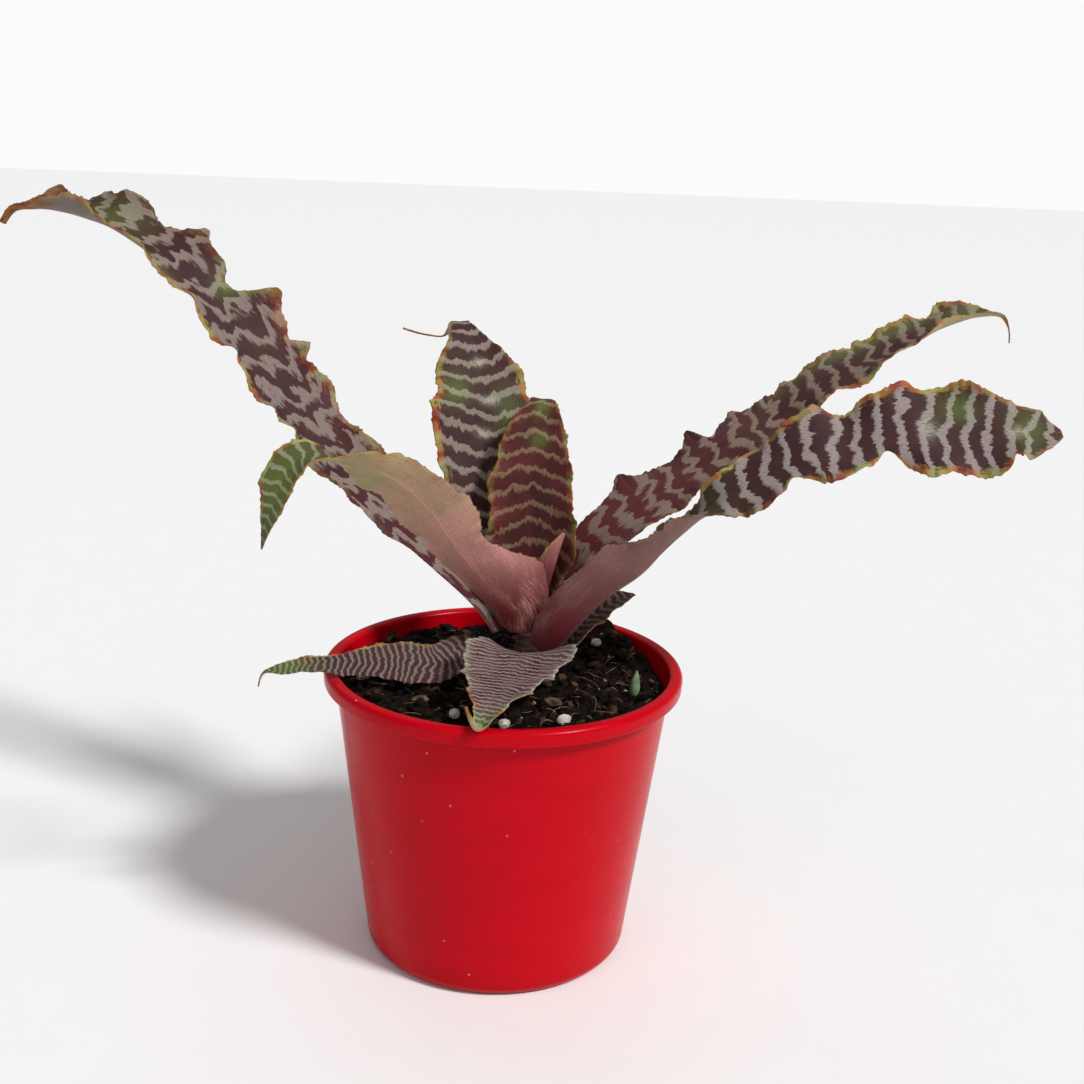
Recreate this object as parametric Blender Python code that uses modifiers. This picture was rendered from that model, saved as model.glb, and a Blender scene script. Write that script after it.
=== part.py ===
"""A banded bromeliad (an earth star) growing in a round plastic nursery pot.

The pot stands on z = 0 with its middle at the origin, and the plant faces the reader along -Y.
Every length in the tables below is in millimetres and is turned into metres by MM.
"""

import math

import bmesh
import bpy
import numpy as np

MM = 0.001
GAP = 0.3  # clearance left between pieces that touch

# pot
POT_HEIGHT = 108.0
POT_FOOT_RADIUS = 48.0
POT_NECK_RADIUS = 60.6  # outside of the wall just under the lip
POT_WALL = 1.4
POT_FLOOR = 2.4
FOOT_ROUNDING = 5.0
LIP_RADIUS = 65.0
LIP_DEPTH = 8.0
LIP_SKIRT = 1.4
POT_SIDES = 48
DRAIN_HOLES = 6
DRAIN_RADIUS = 4.0
DRAIN_RING_RADIUS = 33.0

# growing mix
SOIL_LEVEL = 102.5
SOIL_RINGS = 11
SOIL_SIDES = 44
CROWN = (8.0, 5.0)  # where the stem comes out of the mix
HEAP = (32.0, 40.0)  # the mix is heaped against the far right of the pot

# plant
STEM_BOTTOM = 92.0
LEAF_THICKNESS = 1.0


def material(name, colour, roughness, metallic=0.0):
    """A plain Principled material with one colour."""
    made = bpy.data.materials.new(name)
    made.use_nodes = True
    shader = made.node_tree.nodes["Principled BSDF"]
    shader.inputs["Base Color"].default_value = (*colour, 1.0)
    shader.inputs["Roughness"].default_value = roughness
    shader.inputs["Metallic"].default_value = metallic
    made.diffuse_color = (*colour, 1.0)
    return made


def add_object(name, mesh, made_of, collection):
    """Put a mesh into a collection under the given name, with its material."""
    thing = bpy.data.objects.new(name, mesh)
    mesh.materials.append(made_of)
    collection.objects.link(thing)
    return thing


def mesh_from(name, points, faces):
    """A mesh from points in millimetres and its faces."""
    mesh = bpy.data.meshes.new(name)
    mesh.from_pydata([tuple(float(c) * MM for c in p) for p in points], [], faces)
    mesh.update()
    mesh.shade_smooth()
    mesh.set_sharp_from_angle(angle=math.radians(50))
    return mesh


def turned(name, profile, sides, made_of, collection):
    """Spin a profile of (radius, height) points in millimetres round the Z axis."""
    mesh = bpy.data.meshes.new(name)
    points = [(r * MM, 0.0, z * MM) for r, z in profile]
    mesh.from_pydata(points, [(i, i + 1) for i in range(len(points) - 1)], [])
    thing = add_object(name, mesh, made_of, collection)
    screw = thing.modifiers.new("turn", "SCREW")
    screw.axis = "Z"
    screw.steps = sides
    screw.render_steps = sides
    screw.use_merge_vertices = True
    screw.merge_threshold = 0.00001
    screw.use_smooth_shade = True
    return thing


def cylinder_cutter(name, x, y, z_low, z_high, radius, collection, sides=24):
    """An upright cylinder used only to cut other pieces."""
    mesh = bpy.data.meshes.new(name)
    made = bmesh.new()
    bmesh.ops.create_cone(
        made,
        cap_ends=True,
        segments=sides,
        radius1=radius * MM,
        radius2=radius * MM,
        depth=(z_high - z_low) * MM,
    )
    made.to_mesh(mesh)
    made.free()
    cutter = bpy.data.objects.new(name, mesh)
    cutter.location = (x * MM, y * MM, (z_low + z_high) / 2 * MM)
    cutter.hide_render = True
    cutter.display_type = "WIRE"
    collection.objects.link(cutter)
    return cutter


def cut(thing, cutter):
    """Take the cutter's shape away from a piece."""
    boolean = thing.modifiers.new("cut " + cutter.name, "BOOLEAN")
    boolean.operation = "DIFFERENCE"
    boolean.solver = "EXACT"
    boolean.object = cutter


def wall_radius(z):
    """Outside radius of the pot's wall at a height, a straight taper from foot to neck."""
    neck = POT_HEIGHT - LIP_DEPTH
    return POT_FOOT_RADIUS + (POT_NECK_RADIUS - POT_FOOT_RADIUS) * z / neck


def arc(cx, cz, radius, start, end, count):
    """Points on a circular arc in the profile plane, angles in degrees."""
    turns = [math.radians(start + (end - start) * i / (count - 1)) for i in range(count)]
    return [(cx + radius * math.cos(a), cz + radius * math.sin(a)) for a in turns]


def pot_profile():
    """The pot's section: floor, inner wall, rolled lip with its hanging skirt, outer wall, foot."""
    top = POT_HEIGHT
    low = top - LIP_DEPTH
    inner_top = POT_NECK_RADIUS - POT_WALL + 0.8
    lip_inside = LIP_RADIUS - LIP_SKIRT
    lip_roof = top - 1.8
    profile = [(0.0, POT_FLOOR), (wall_radius(POT_FLOOR) - POT_WALL - 2.5, POT_FLOOR)]
    profile += [(wall_radius(POT_FLOOR + 2.0) - POT_WALL, POT_FLOOR + 2.0)]
    profile += [(wall_radius(50.0) - POT_WALL, 50.0)]
    profile += [(wall_radius(low) - POT_WALL, low), (inner_top, top - 2.4)]
    profile += [(inner_top + 0.7, top - 0.7), (inner_top + 1.7, top)]
    profile += arc(LIP_RADIUS - 2.2, top - 2.2, 2.2, 90, 0, 5)
    profile += [(LIP_RADIUS - 0.2, low + 1.0), (LIP_RADIUS - 0.6, low)]
    profile += [(lip_inside - 0.2, low), (lip_inside - 0.2, lip_roof - 0.8)]
    profile += [(lip_inside - 0.9, lip_roof), (wall_radius(lip_roof) + 0.9, lip_roof)]
    profile += [(wall_radius(lip_roof - 1.0) + 0.1, lip_roof - 1.0)]
    profile += [(wall_radius(low), low), (wall_radius(50.0), 50.0)]
    foot_x = wall_radius(FOOT_ROUNDING) - FOOT_ROUNDING
    profile += arc(foot_x, FOOT_ROUNDING, FOOT_ROUNDING, 0, -90, 6)
    profile += [(0.0, 0.0)]
    return profile


def soil_height(x, y):
    """Height of the mix: level, raised round the crown, heaped to the far right, and lumpy."""
    crown = 3.2 * np.exp(-((x - CROWN[0]) ** 2 + (y - CROWN[1]) ** 2) / 22.0**2)
    heap = 6.5 * np.exp(-((x - HEAP[0]) ** 2 + (y - HEAP[1]) ** 2) / 19.0**2)
    front = 1.5 * np.exp(-((x - 10.0) ** 2 + (y + 45.0) ** 2) / 26.0**2)
    lumps = 0.5 * np.sin(x / 4.1 + 0.6) * np.sin(y / 3.7 + 1.2) + 0.35 * np.sin(
        x / 2.3 - y / 2.9
    )
    return SOIL_LEVEL + crown + heap + front + lumps


def soil_mesh():
    """A plug that fills the pot: rings over the lumpy top, then down the wall and across the floor."""
    turns = np.linspace(0.0, 2 * math.pi, SOIL_SIDES, endpoint=False)
    edge = wall_radius(SOIL_LEVEL - 3.0) - POT_WALL - GAP
    points = [(0.0, 0.0, float(soil_height(0.0, 0.0)))]
    for ring in range(1, SOIL_RINGS + 1):
        radius = edge * (ring / SOIL_RINGS) ** 0.9
        for a in turns:
            x, y = radius * math.cos(a), radius * math.sin(a)
            fade = max(0.0, ring / SOIL_RINGS - 0.8) / 0.2
            points.append((x, y, float(soil_height(x, y)) - 1.2 * fade))
    for z in (50.0, POT_FLOOR + 2.0 + GAP, POT_FLOOR + GAP):
        shrink = 3.2 if z < POT_FLOOR + 1.0 else 0.0
        radius = wall_radius(z) - POT_WALL - GAP - shrink
        points += [(radius * math.cos(a), radius * math.sin(a), z) for a in turns]
    points.append((0.0, 0.0, POT_FLOOR + GAP))
    faces = [(0, 1 + i, 1 + (i + 1) % SOIL_SIDES) for i in range(SOIL_SIDES)]
    for ring in range(SOIL_RINGS + 2):
        a, b = 1 + ring * SOIL_SIDES, 1 + (ring + 1) * SOIL_SIDES
        for i in range(SOIL_SIDES):
            j = (i + 1) % SOIL_SIDES
            faces.append((a + i, b + i, b + j, a + j))
    last = 1 + (SOIL_RINGS + 2) * SOIL_SIDES
    end = len(points) - 1
    faces += [(last + i, end, last + (i + 1) % SOIL_SIDES) for i in range(SOIL_SIDES)]
    return mesh_from("soil", points, faces)


def smooth_through(knots, values, at):
    """Smooth interpolation through stations: cubic pieces with slopes averaged from both sides."""
    step = np.diff(knots)[:, None]
    rise = np.diff(values, axis=0) / step
    slope = np.empty_like(values)
    slope[1:-1] = (rise[:-1] * step[1:] + rise[1:] * step[:-1]) / (step[1:] + step[:-1])
    slope[0] = 1.5 * rise[0] - 0.5 * slope[1]
    slope[-1] = 1.5 * rise[-1] - 0.5 * slope[-2]
    i = np.clip(np.searchsorted(knots, at, side="right") - 1, 0, len(knots) - 2)
    h = step[i]
    t = (at - knots[i])[:, None] / h
    return (
        (2 * t**3 - 3 * t**2 + 1) * values[i]
        + (t**3 - 2 * t**2 + t) * h * slope[i]
        + (3 * t**2 - 2 * t**3) * values[i + 1]
        + (t**3 - t**2) * h * slope[i + 1]
    )


def leaf_surface(heading, stations, waves, rows, columns):
    """Middle surface of a leaf, as rows of points from its base to its tip.

    Each station holds the midrib's point, the half width to its left and to its right, the roll of
    the blade round the midrib, and the half angle of the arc that the blade is cupped into. The
    margins are ruffled by a wave that grows from the midrib outward.
    """
    table = np.array(stations, float)
    knots = np.concatenate(
        [[0.0], np.cumsum(np.linalg.norm(np.diff(table[:, :3], axis=0), axis=1))]
    )
    along = np.linspace(0.0, knots[-1], rows)
    value = smooth_through(knots, table, along)
    middle = value[:, :3]
    ahead = np.gradient(middle, along, axis=0)
    ahead /= np.linalg.norm(ahead, axis=1)[:, None]
    a = math.radians(heading)
    side = np.array([math.sin(a), -math.cos(a), 0.0])
    side = side - (ahead @ side)[:, None] * ahead
    side /= np.linalg.norm(side, axis=1)[:, None]
    face = np.cross(side, ahead)
    roll = np.radians(value[:, 5])[:, None]
    side, face = (
        side * np.cos(roll) + face * np.sin(roll),
        face * np.cos(roll) - side * np.sin(roll),
    )
    cup = np.radians(np.maximum(value[:, 6], 1.0))[:, None]
    v = np.linspace(-1.0, 1.0, columns)[None, :]
    right = 1.0 / (1.0 + np.exp(-12.0 * v))
    half = np.maximum(value[:, 3:4], 0.5) * (1 - right) + np.maximum(value[:, 4:5], 0.5) * right
    count, height, left_phase, right_phase, flare = waves
    part = (along / knots[-1])[:, None]
    grown = np.clip(np.minimum((part - 0.12) / 0.2, (1 - part) / 0.12), 0.0, 1.0)
    angle = 2 * math.pi * (count * part + left_phase * (1 - right) + right_phase * right)
    half = half * (1 + flare * np.cos(angle) * v**2 * grown)
    across = half * np.sin(v * cup) / cup
    lift = half * (1 - np.cos(v * cup)) / cup
    lift = lift + height * grown * np.minimum(1, half / 10) * np.abs(v) ** 2.5 * np.sin(angle)
    return (
        middle[:, None, :] + across[..., None] * side[:, None, :] + lift[..., None] * face[:, None, :]
    )


def add_leaf(name, heading, waves, rows, stations, made_of, collection, columns=7):
    """One leaf: its middle surface, thickened both ways."""
    grid = leaf_surface(heading, stations, waves, rows, columns)
    points = grid.reshape(-1, 3)
    faces = [
        (i * columns + j, i * columns + j + 1, (i + 1) * columns + j + 1, (i + 1) * columns + j)
        for i in range(rows - 1)
        for j in range(columns - 1)
    ]
    thing = add_object(name, mesh_from(name, points, faces), made_of, collection)
    shell = thing.modifiers.new("blade", "SOLIDIFY")
    shell.thickness = LEAF_THICKNESS * MM
    shell.offset = 0.0
    return thing


def add_grain(name, x, y, size, turn, made_of, collection):
    """A rounded grain or chip resting on the mix, its size given along its three axes."""
    mesh = bpy.data.meshes.new(name)
    made = bmesh.new()
    bmesh.ops.create_icosphere(made, subdivisions=2, radius=0.5 * MM)
    for v in made.verts:
        v.co.x *= size[0]
        v.co.y *= size[1]
        v.co.z *= size[2]
    made.to_mesh(mesh)
    made.free()
    mesh.shade_smooth()
    thing = add_object(name, mesh, made_of, collection)
    reach = np.array([(x + dx, y + dy) for dx in (-3, 0, 3) for dy in (-3, 0, 3)])
    top = float(np.max(soil_height(reach[:, 0], reach[:, 1])))
    thing.location = (x * MM, y * MM, (top + size[2] / 2 + GAP) * MM)
    thing.rotation_euler = (0.0, 0.0, math.radians(turn))
    return thing


for old in list(bpy.data.objects):
    bpy.data.objects.remove(old, do_unlink=True)

plant = bpy.data.collections.new("potted_bromeliad")
cutters = bpy.data.collections.new("cutters")
bpy.context.scene.collection.children.link(plant)
bpy.context.scene.collection.children.link(cutters)

red_plastic = material("red_plastic", (0.56, 0.0, 0.015), 0.25)
potting_mix = material("potting_mix", (0.025, 0.018, 0.013), 0.95)
stem_skin = material("stem_skin", (0.08, 0.03, 0.02), 0.7)
banded_leaf = material("banded_leaf", (0.10, 0.035, 0.035), 0.5)
scurfy_leaf = material("scurfy_leaf", (0.32, 0.16, 0.13), 0.6)
reddish_leaf = material("reddish_leaf", (0.13, 0.03, 0.025), 0.5)
pale_grain = material("pale_grain", (0.6, 0.6, 0.52), 0.9)
bark_chip = material("bark_chip", (0.12, 0.07, 0.035), 0.9)
green_shoot = material("green_shoot", (0.13, 0.24, 0.10), 0.5)

pot = turned("pot", pot_profile(), POT_SIDES, red_plastic, plant)
for k in range(DRAIN_HOLES):
    turn = 2 * math.pi * (k + 0.5) / DRAIN_HOLES
    hole = cylinder_cutter(
        f"drain_cutter_{k + 1}",
        DRAIN_RING_RADIUS * math.cos(turn),
        DRAIN_RING_RADIUS * math.sin(turn),
        -1.0,
        POT_FLOOR + 0.2,
        DRAIN_RADIUS,
        cutters,
        16,
    )
    cut(pot, hole)

soil = add_object("soil", soil_mesh(), potting_mix, plant)
STEM_PROFILE = [
    (0.0, 127.0),
    (1.6, 126.5),
    (2.6, 124.0),
    (3.4, 119.0),
    (4.6, 113.0),
    (6.2, 108.0),
    (6.6, 102.0),
    (5.6, 96.0),
    (3.4, STEM_BOTTOM),
    (0.0, STEM_BOTTOM),
]
stem = turned("stem", STEM_PROFILE, 18, stem_skin, plant)
stem.location = (CROWN[0] * MM, CROWN[1] * MM, 0.0)
socket = cylinder_cutter(
    "stem_cutter", CROWN[0], CROWN[1], STEM_BOTTOM - GAP, 120.0, 6.6 + GAP, cutters
)
cut(soil, socket)

# leaf tables: x, y, z, half width left, half width right, roll, cup; waves: count, height,
# phase of the left margin, phase of the right margin, share of the width
LONG_LEFT = [
    (-3, 10, 116, 11, 11, 0, 62),
    (-8, 13, 124, 12, 12, 8, 50),
    (-24, 19, 139, 13, 13, 18, 35),
    (-38, 27, 149, 12, 14, 24, 25),
    (-52, 35, 160, 11, 15, 28, 20),
    (-71, 45, 174, 12, 12, 30, 16),
    (-85, 51, 186, 12, 15, 30, 14),
    (-97, 57, 198, 13, 18, 30, 14),
    (-110, 62, 210, 12, 20, 30, 16),
    (-123, 67, 222, 11, 17, 28, 20),
    (-135, 72, 234, 10, 15, 22, 30),
    (-147, 77, 243, 9, 13, 12, 50),
    (-158, 81, 248, 9, 13, 2, 72),
    (-168, 84, 252, 9, 13, -5, 82),
    (-177, 87, 257, 7, 10, -5, 80),
    (-190, 89, 260, 4, 4, 0, 60),
    (-199, 89, 259, 3, 3, 0, 50),
    (-203, 89, 254, 2, 2, 0, 50),
]
BACK_RIGHT = [
    (17, 12, 116, 9, 9, 0, 60),
    (21, 15, 128, 11, 11, -10, 50),
    (27, 19, 142, 9, 12, -15, 42),
    (35, 23, 153, 9, 15, -22, 35),
    (47, 28, 162, 10, 14, -28, 25),
    (57, 33, 169, 8, 13, -30, 20),
    (69, 38, 176, 8, 13, -30, 16),
    (82, 44, 186, 8, 14, -30, 15),
    (98, 51, 192, 8, 11, -30, 16),
    (111, 55, 203, 8, 11, -28, 20),
    (125, 60, 211, 8, 11, -25, 28),
    (140, 66, 217, 8, 10, -20, 45),
    (155, 71, 223, 7, 7, -8, 60),
    (168, 76, 228, 5, 5, 4, 70),
    (180, 80, 231, 3, 3, 8, 60),
    (192, 82, 229, 1, 1, 0, 40),
]
FRONT_RIGHT = [
    (16, -6, 115, 12, 9, 42, 66),
    (22, -10, 124, 13, 13, 38, 70),
    (33, -16, 139, 15, 15, 36, 74),
    (46, -20, 151, 15, 15, 32, 76),
    (56, -23, 163, 10, 11, 15, 74),
    (65, -26, 173, 7, 8, -15, 55),
    (73, -29, 182, 7, 11, -42, 25),
    (82, -30, 188, 10, 13, -50, 12),
    (92, -31, 194, 10, 10, -52, 8),
    (100, -31, 199, 12, 12, -52, 6),
    (111, -31, 200, 13, 12, -52, 6),
    (121, -32, 203, 14, 9, -55, 6),
    (133, -32, 206, 16, 15, -55, 6),
    (146, -33, 206, 16, 17, -55, 6),
    (157, -34, 207, 14, 14, -55, 6),
    (166, -35, 208, 9, 10, -52, 8),
    (173, -36, 207, 7, 6, -50, 8),
    (178, -36, 208, 1, 2, -50, 8),
]
FRONT_LEFT = [
    (3, -5, 122, 9, 9, -30, 60),
    (2, -8, 129, 15, 13, -32, 60),
    (-4, -12, 138, 21, 14, -34, 52),
    (-11, -17, 148, 14, 12, -38, 40),
    (-18, -22, 158, 11, 12, -42, 28),
    (-25, -28, 170, 14, 12, -45, 18),
    (-33, -34, 180, 11, 11, -46, 14),
    (-41, -39, 186, 9, 11, -42, 12),
    (-51, -43, 190, 9, 6, -28, 14),
    (-58, -46, 192, 7, 7, 0, 25),
    (-65, -48, 192, 8, 8, 22, 32),
    (-70, -49, 187, 8, 8, 26, 30),
    (-73, -50, 179, 6, 6, 20, 22),
    (-76, -50, 170, 3, 3, 10, 20),
    (-78, -50, 162, 1, 1, 0, 20),
]
BACK_UPRIGHT = [
    (6, 13, 124, 8, 8, 0, 60),
    (3, 17, 138, 12, 11, 0, 50),
    (-3, 23, 151, 15, 12, 0, 36),
    (-8, 27, 167, 17, 17, 0, 28),
    (-11, 32, 183, 19, 19, 0, 22),
    (-11, 38, 197, 20, 18, 0, 18),
    (-14, 45, 210, 16, 13, 0, 12),
    (-18, 51, 220, 8, 6, 0, 10),
    (-22, 57, 223, 5, 5, 0, 10),
    (-25, 64, 221, 4, 4, -6, 20),
    (-27, 70, 218, 3, 3, -10, 30),
    (-30, 75, 215, 1, 1, 0, 30),
    (-37, 77, 215, 1, 1, 0, 30),
    (-46, 78, 217, 1, 1, 0, 30),
]
CENTRE = [
    (9, 10, 126, 8, 8, 0, 65),
    (9, 11, 136, 13, 13, 0, 60),
    (9, 12, 145, 17, 19, 0, 48),
    (8, 15, 160, 16, 18, 0, 34),
    (8, 19, 176, 15, 15, 0, 25),
    (9, 24, 189, 11, 11, 0, 18),
    (10, 28, 197, 7, 6, 0, 12),
    (10, 33, 199, 4, 4, 0, 12),
    (10, 39, 196, 2, 2, 0, 15),
]
YOUNG = [
    (12, 3, 128, 3, 3, 0, 60),
    (14, 2, 136, 5, 5, 10, 75),
    (16, 1, 145, 6, 6, 15, 80),
    (18, 1, 152, 4, 4, 10, 75),
    (20, 2, 157, 1, 1, 0, 60),
]
LOW_FRONT = [
    (6, -5, 110, 9, 9, 0, 40),
    (6, -10, 115, 15, 13, 0, 36),
    (6, -17, 117, 20, 19, 0, 26),
    (4, -27, 116, 18, 18, 0, 20),
    (1, -41, 115, 14, 14, 0, 20),
    (-2, -54, 114, 8, 8, 0, 25),
    (-4, -63, 112, 4, 4, 0, 40),
    (-6, -68, 110, 2, 2, 0, 50),
    (-8, -71, 114, 2, 1, 0, 50),
    (-10, -71, 119, 1, 1, 0, 50),
]
LOW_LEFT = [
    (-5, 1, 110, 5, 5, 15, 50),
    (-13, -2, 112, 8, 7, 25, 40),
    (-25, -9, 110, 10, 7, 34, 20),
    (-37, -12, 112, 10, 7, 36, 16),
    (-49, -15, 112, 8, 5, 32, 16),
    (-61, -18, 112, 6, 3, 26, 20),
    (-72, -20, 111, 5, 3, 22, 30),
    (-79, -22, 110, 4, 2, 15, 40),
    (-83, -23, 109, 1, 1, 0, 40),
    (-85, -23, 104, 1, 1, 0, 40),
]
LOW_RIGHT = [
    (18, 1, 108, 4, 5, 0, 45),
    (24, 3, 115, 8, 8, -8, 35),
    (31, 8, 123, 9, 9, -12, 25),
    (40, 12, 129, 6, 6, -12, 25),
    (47, 15, 131, 1, 1, -5, 30),
]
LEAVES = [
    ("leaf_long_left", 155, (8.2, 2.4, 0.0, 0.45, 0.10), 42, LONG_LEFT, banded_leaf),
    ("leaf_back_right", 27, (8.0, 2.2, 0.1, 0.55, 0.10), 34, BACK_RIGHT, banded_leaf),
    ("leaf_front_right", -8, (7.0, 2.4, 0.1, 0.6, 0.10), 34, FRONT_RIGHT, banded_leaf),
    ("leaf_front_left", 215, (5.0, 1.2, 0.3, 0.7, 0.06), 28, FRONT_LEFT, scurfy_leaf),
    ("leaf_back_upright", 100, (6.0, 1.2, 0.2, 0.5, 0.05), 28, BACK_UPRIGHT, banded_leaf),
    ("leaf_centre", 75, (5.0, 1.0, 0.4, 0.1, 0.04), 20, CENTRE, reddish_leaf),
    ("leaf_young", -20, (2.0, 0.5, 0.4, 0.1, 0.0), 10, YOUNG, reddish_leaf),
    ("leaf_low_front", 258, (6.0, 0.9, 0.3, 0.1, 0.05), 20, LOW_FRONT, banded_leaf),
    ("leaf_low_left", 192, (4.0, 0.8, 0.3, 0.1, 0.05), 18, LOW_LEFT, banded_leaf),
    ("leaf_low_right", 10, (3.0, 0.8, 0.3, 0.1, 0.05), 10, LOW_RIGHT, banded_leaf),
]
for leaf_name, leaf_heading, leaf_waves, leaf_rows, leaf_table, leaf_material in LEAVES:
    add_leaf(leaf_name, leaf_heading, leaf_waves, leaf_rows, leaf_table, leaf_material, plant)

GRAINS = [
    ("perlite_left", -50, -10, (4.5, 4.0, 3.5), 20, pale_grain),
    ("perlite_near_left", -15, -44, (4.5, 3.8, 3.8), 70, pale_grain),
    ("perlite_near_middle", 2, -52, (4.0, 4.0, 3.4), 10, pale_grain),
    ("perlite_near_right", 22, -46, (5.0, 4.2, 3.6), 40, pale_grain),
    ("perlite_far_right", 34, 24, (4.2, 3.6, 3.2), 15, pale_grain),
    ("bark_near_left", -28, -30, (7.0, 4.5, 3.2), 35, bark_chip),
    ("bark_near_right", 18, -32, (6.5, 4.5, 3.4), -25, bark_chip),
]
for grain_name, grain_x, grain_y, grain_size, grain_turn, grain_material in GRAINS:
    add_grain(grain_name, grain_x, grain_y, grain_size, grain_turn, grain_material, plant)
sprout = add_grain("sprout", 47, -14, (4.4, 4.0, 9.0), 0, green_shoot, plant)
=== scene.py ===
"""The looks of a potted earth star: ten banded leaves on a short stem, in a red plastic nursery pot.

The pot stands on z = 0 with its middle at the origin, and the near side is towards -Y. Lengths are in
millimetres and become metres by MM when a piece is made.
"""

import math

import bpy
import numpy as np
from mathutils import Matrix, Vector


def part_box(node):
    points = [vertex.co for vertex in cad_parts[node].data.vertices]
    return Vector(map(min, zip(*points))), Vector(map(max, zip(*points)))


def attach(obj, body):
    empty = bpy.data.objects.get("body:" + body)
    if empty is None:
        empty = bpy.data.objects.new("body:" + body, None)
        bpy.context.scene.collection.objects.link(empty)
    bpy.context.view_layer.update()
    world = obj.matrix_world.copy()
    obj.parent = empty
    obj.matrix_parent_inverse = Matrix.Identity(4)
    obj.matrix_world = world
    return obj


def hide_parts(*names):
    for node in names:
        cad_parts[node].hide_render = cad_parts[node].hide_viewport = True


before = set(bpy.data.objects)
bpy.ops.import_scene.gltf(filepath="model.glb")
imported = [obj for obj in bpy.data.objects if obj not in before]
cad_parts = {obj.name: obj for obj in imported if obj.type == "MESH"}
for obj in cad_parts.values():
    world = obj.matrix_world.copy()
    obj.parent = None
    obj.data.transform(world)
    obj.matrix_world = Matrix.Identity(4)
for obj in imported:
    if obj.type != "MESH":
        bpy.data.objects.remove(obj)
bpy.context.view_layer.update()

MM = 0.001
TURN = 2 * math.pi


def lowest(node):
    """A CAD node's lowest corner in millimetres."""
    return np.array(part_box(node)[0]) / MM


def highest(node):
    """A CAD node's highest corner in millimetres."""
    return np.array(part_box(node)[1]) / MM


def rgb(red, green, blue):
    """A screen colour of 0 to 255 as the linear colour that a shader takes."""
    share = np.array([red, green, blue]) / 255.0
    linear = np.where(share <= 0.04045, share / 12.92, ((share + 0.055) / 1.055) ** 2.4)
    return (*linear.tolist(), 1.0)


# ---------------------------------------------------------------- materials


class Wire:
    """A node's output. Arithmetic on it adds Math nodes to its material."""

    def __init__(self, finish, socket):
        self.finish = finish
        self.socket = socket

    def __add__(self, other):
        return self.finish.maths("ADD", self, other)

    def __radd__(self, other):
        return self.finish.maths("ADD", other, self)

    def __sub__(self, other):
        return self.finish.maths("SUBTRACT", self, other)

    def __rsub__(self, other):
        return self.finish.maths("SUBTRACT", other, self)

    def __mul__(self, other):
        return self.finish.maths("MULTIPLY", self, other)

    def __rmul__(self, other):
        return self.finish.maths("MULTIPLY", other, self)

    def __truediv__(self, other):
        return self.finish.maths("DIVIDE", self, other)


class Finish:
    """A material in the making. node() adds any node, and the short methods below call it."""

    def __init__(self, name):
        self.material = bpy.data.materials.new(name)
        self.material.use_nodes = True
        self.tree = self.material.node_tree
        self.shader = self.tree.nodes["Principled BSDF"]

    def join(self, socket, value):
        """Set a socket to a number or colour, or link a wire to it."""
        if isinstance(value, Wire):
            self.tree.links.new(value.socket, socket)
        else:
            socket.default_value = value

    def node(self, kind, settings=None, inputs=None, output=0):
        """Any node: its type, its settings (a ramp's stops among them), then its sockets."""
        made = self.tree.nodes.new("ShaderNode" + kind)
        settings = dict(settings or {})
        for number, (place, colour) in enumerate(settings.pop("stops", [])):
            stops = made.color_ramp.elements
            stop = stops[number] if number < 2 else stops.new(place)
            stop.position = place
            stop.color = colour
        for key, value in settings.items():
            setattr(made, key, value)
        for key, value in (inputs or {}).items():
            self.join(made.inputs[key], value)
        return Wire(self, made.outputs[output])

    def maths(self, operation, *values):
        return self.node("Math", {"operation": operation}, dict(enumerate(values)))

    def attribute(self, name):
        """A number that the piece carries at each of its points."""
        return self.node("Attribute", {"attribute_name": name}, output="Fac")

    def place(self):
        """The point on the piece, in metres."""
        return self.node("TexCoord", output="Object")

    def vector(self, x, y, z=0.0):
        return self.node("CombineXYZ", {}, {"X": x, "Y": y, "Z": z})

    def noise(self, where, scale, detail=2.0, roughness=0.5):
        sockets = {"Vector": where, "Scale": scale, "Detail": detail, "Roughness": roughness}
        return self.node("TexNoise", {}, sockets)

    def ease(self, value, low, high):
        """0 below low, 1 above high, smooth between."""
        sockets = {"Value": value, "From Min": low, "From Max": high}
        return self.node("MapRange", {"interpolation_type": "SMOOTHSTEP"}, sockets)

    def mix(self, factor, first, second):
        """The first colour where factor is 0, the second where it is 1."""
        return self.node("Mix", {"data_type": "RGBA"}, {0: factor, 6: first, 7: second}, 2)

    def ramp(self, value, *stops):
        return self.node("ValToRGB", {"stops": stops}, {"Fac": value})

    def relief(self, height, depth, strength=1.0):
        """Bumps of the given depth in millimetres, for the Normal socket."""
        sockets = {"Height": height, "Distance": depth * MM, "Strength": strength}
        return self.node("Bump", {}, sockets)

    def wear(self, **sockets):
        """Set or link the shader's own sockets, named with _ for a space."""
        for key, value in sockets.items():
            self.join(self.shader.inputs[key.replace("_", " ")], value)
        return self.material


# colours of the leaves
PLUM = rgb(60, 32, 37)
UMBER = rgb(66, 36, 32)
TAUPE = rgb(148, 130, 121)
SILVER = rgb(168, 154, 150)
LEAF_GREEN = rgb(92, 106, 50)
PALE_GREEN = rgb(146, 158, 116)
CREAM = rgb(196, 196, 174)
MAROON = rgb(94, 36, 38)
WINE = rgb(112, 34, 42)
STRAW = rgb(160, 104, 54)
BURNT = rgb(84, 50, 30)
PINK = rgb(212, 148, 138)
TAN = rgb(186, 164, 120)
MAUVE = rgb(146, 104, 98)
ASH = rgb(134, 118, 113)
CLAY = rgb(134, 112, 100)
FAWN = rgb(154, 138, 126)
COPPER = rgb(138, 110, 84)
DUSK = rgb(98, 74, 74)
LILAC = rgb(156, 136, 132)


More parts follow.
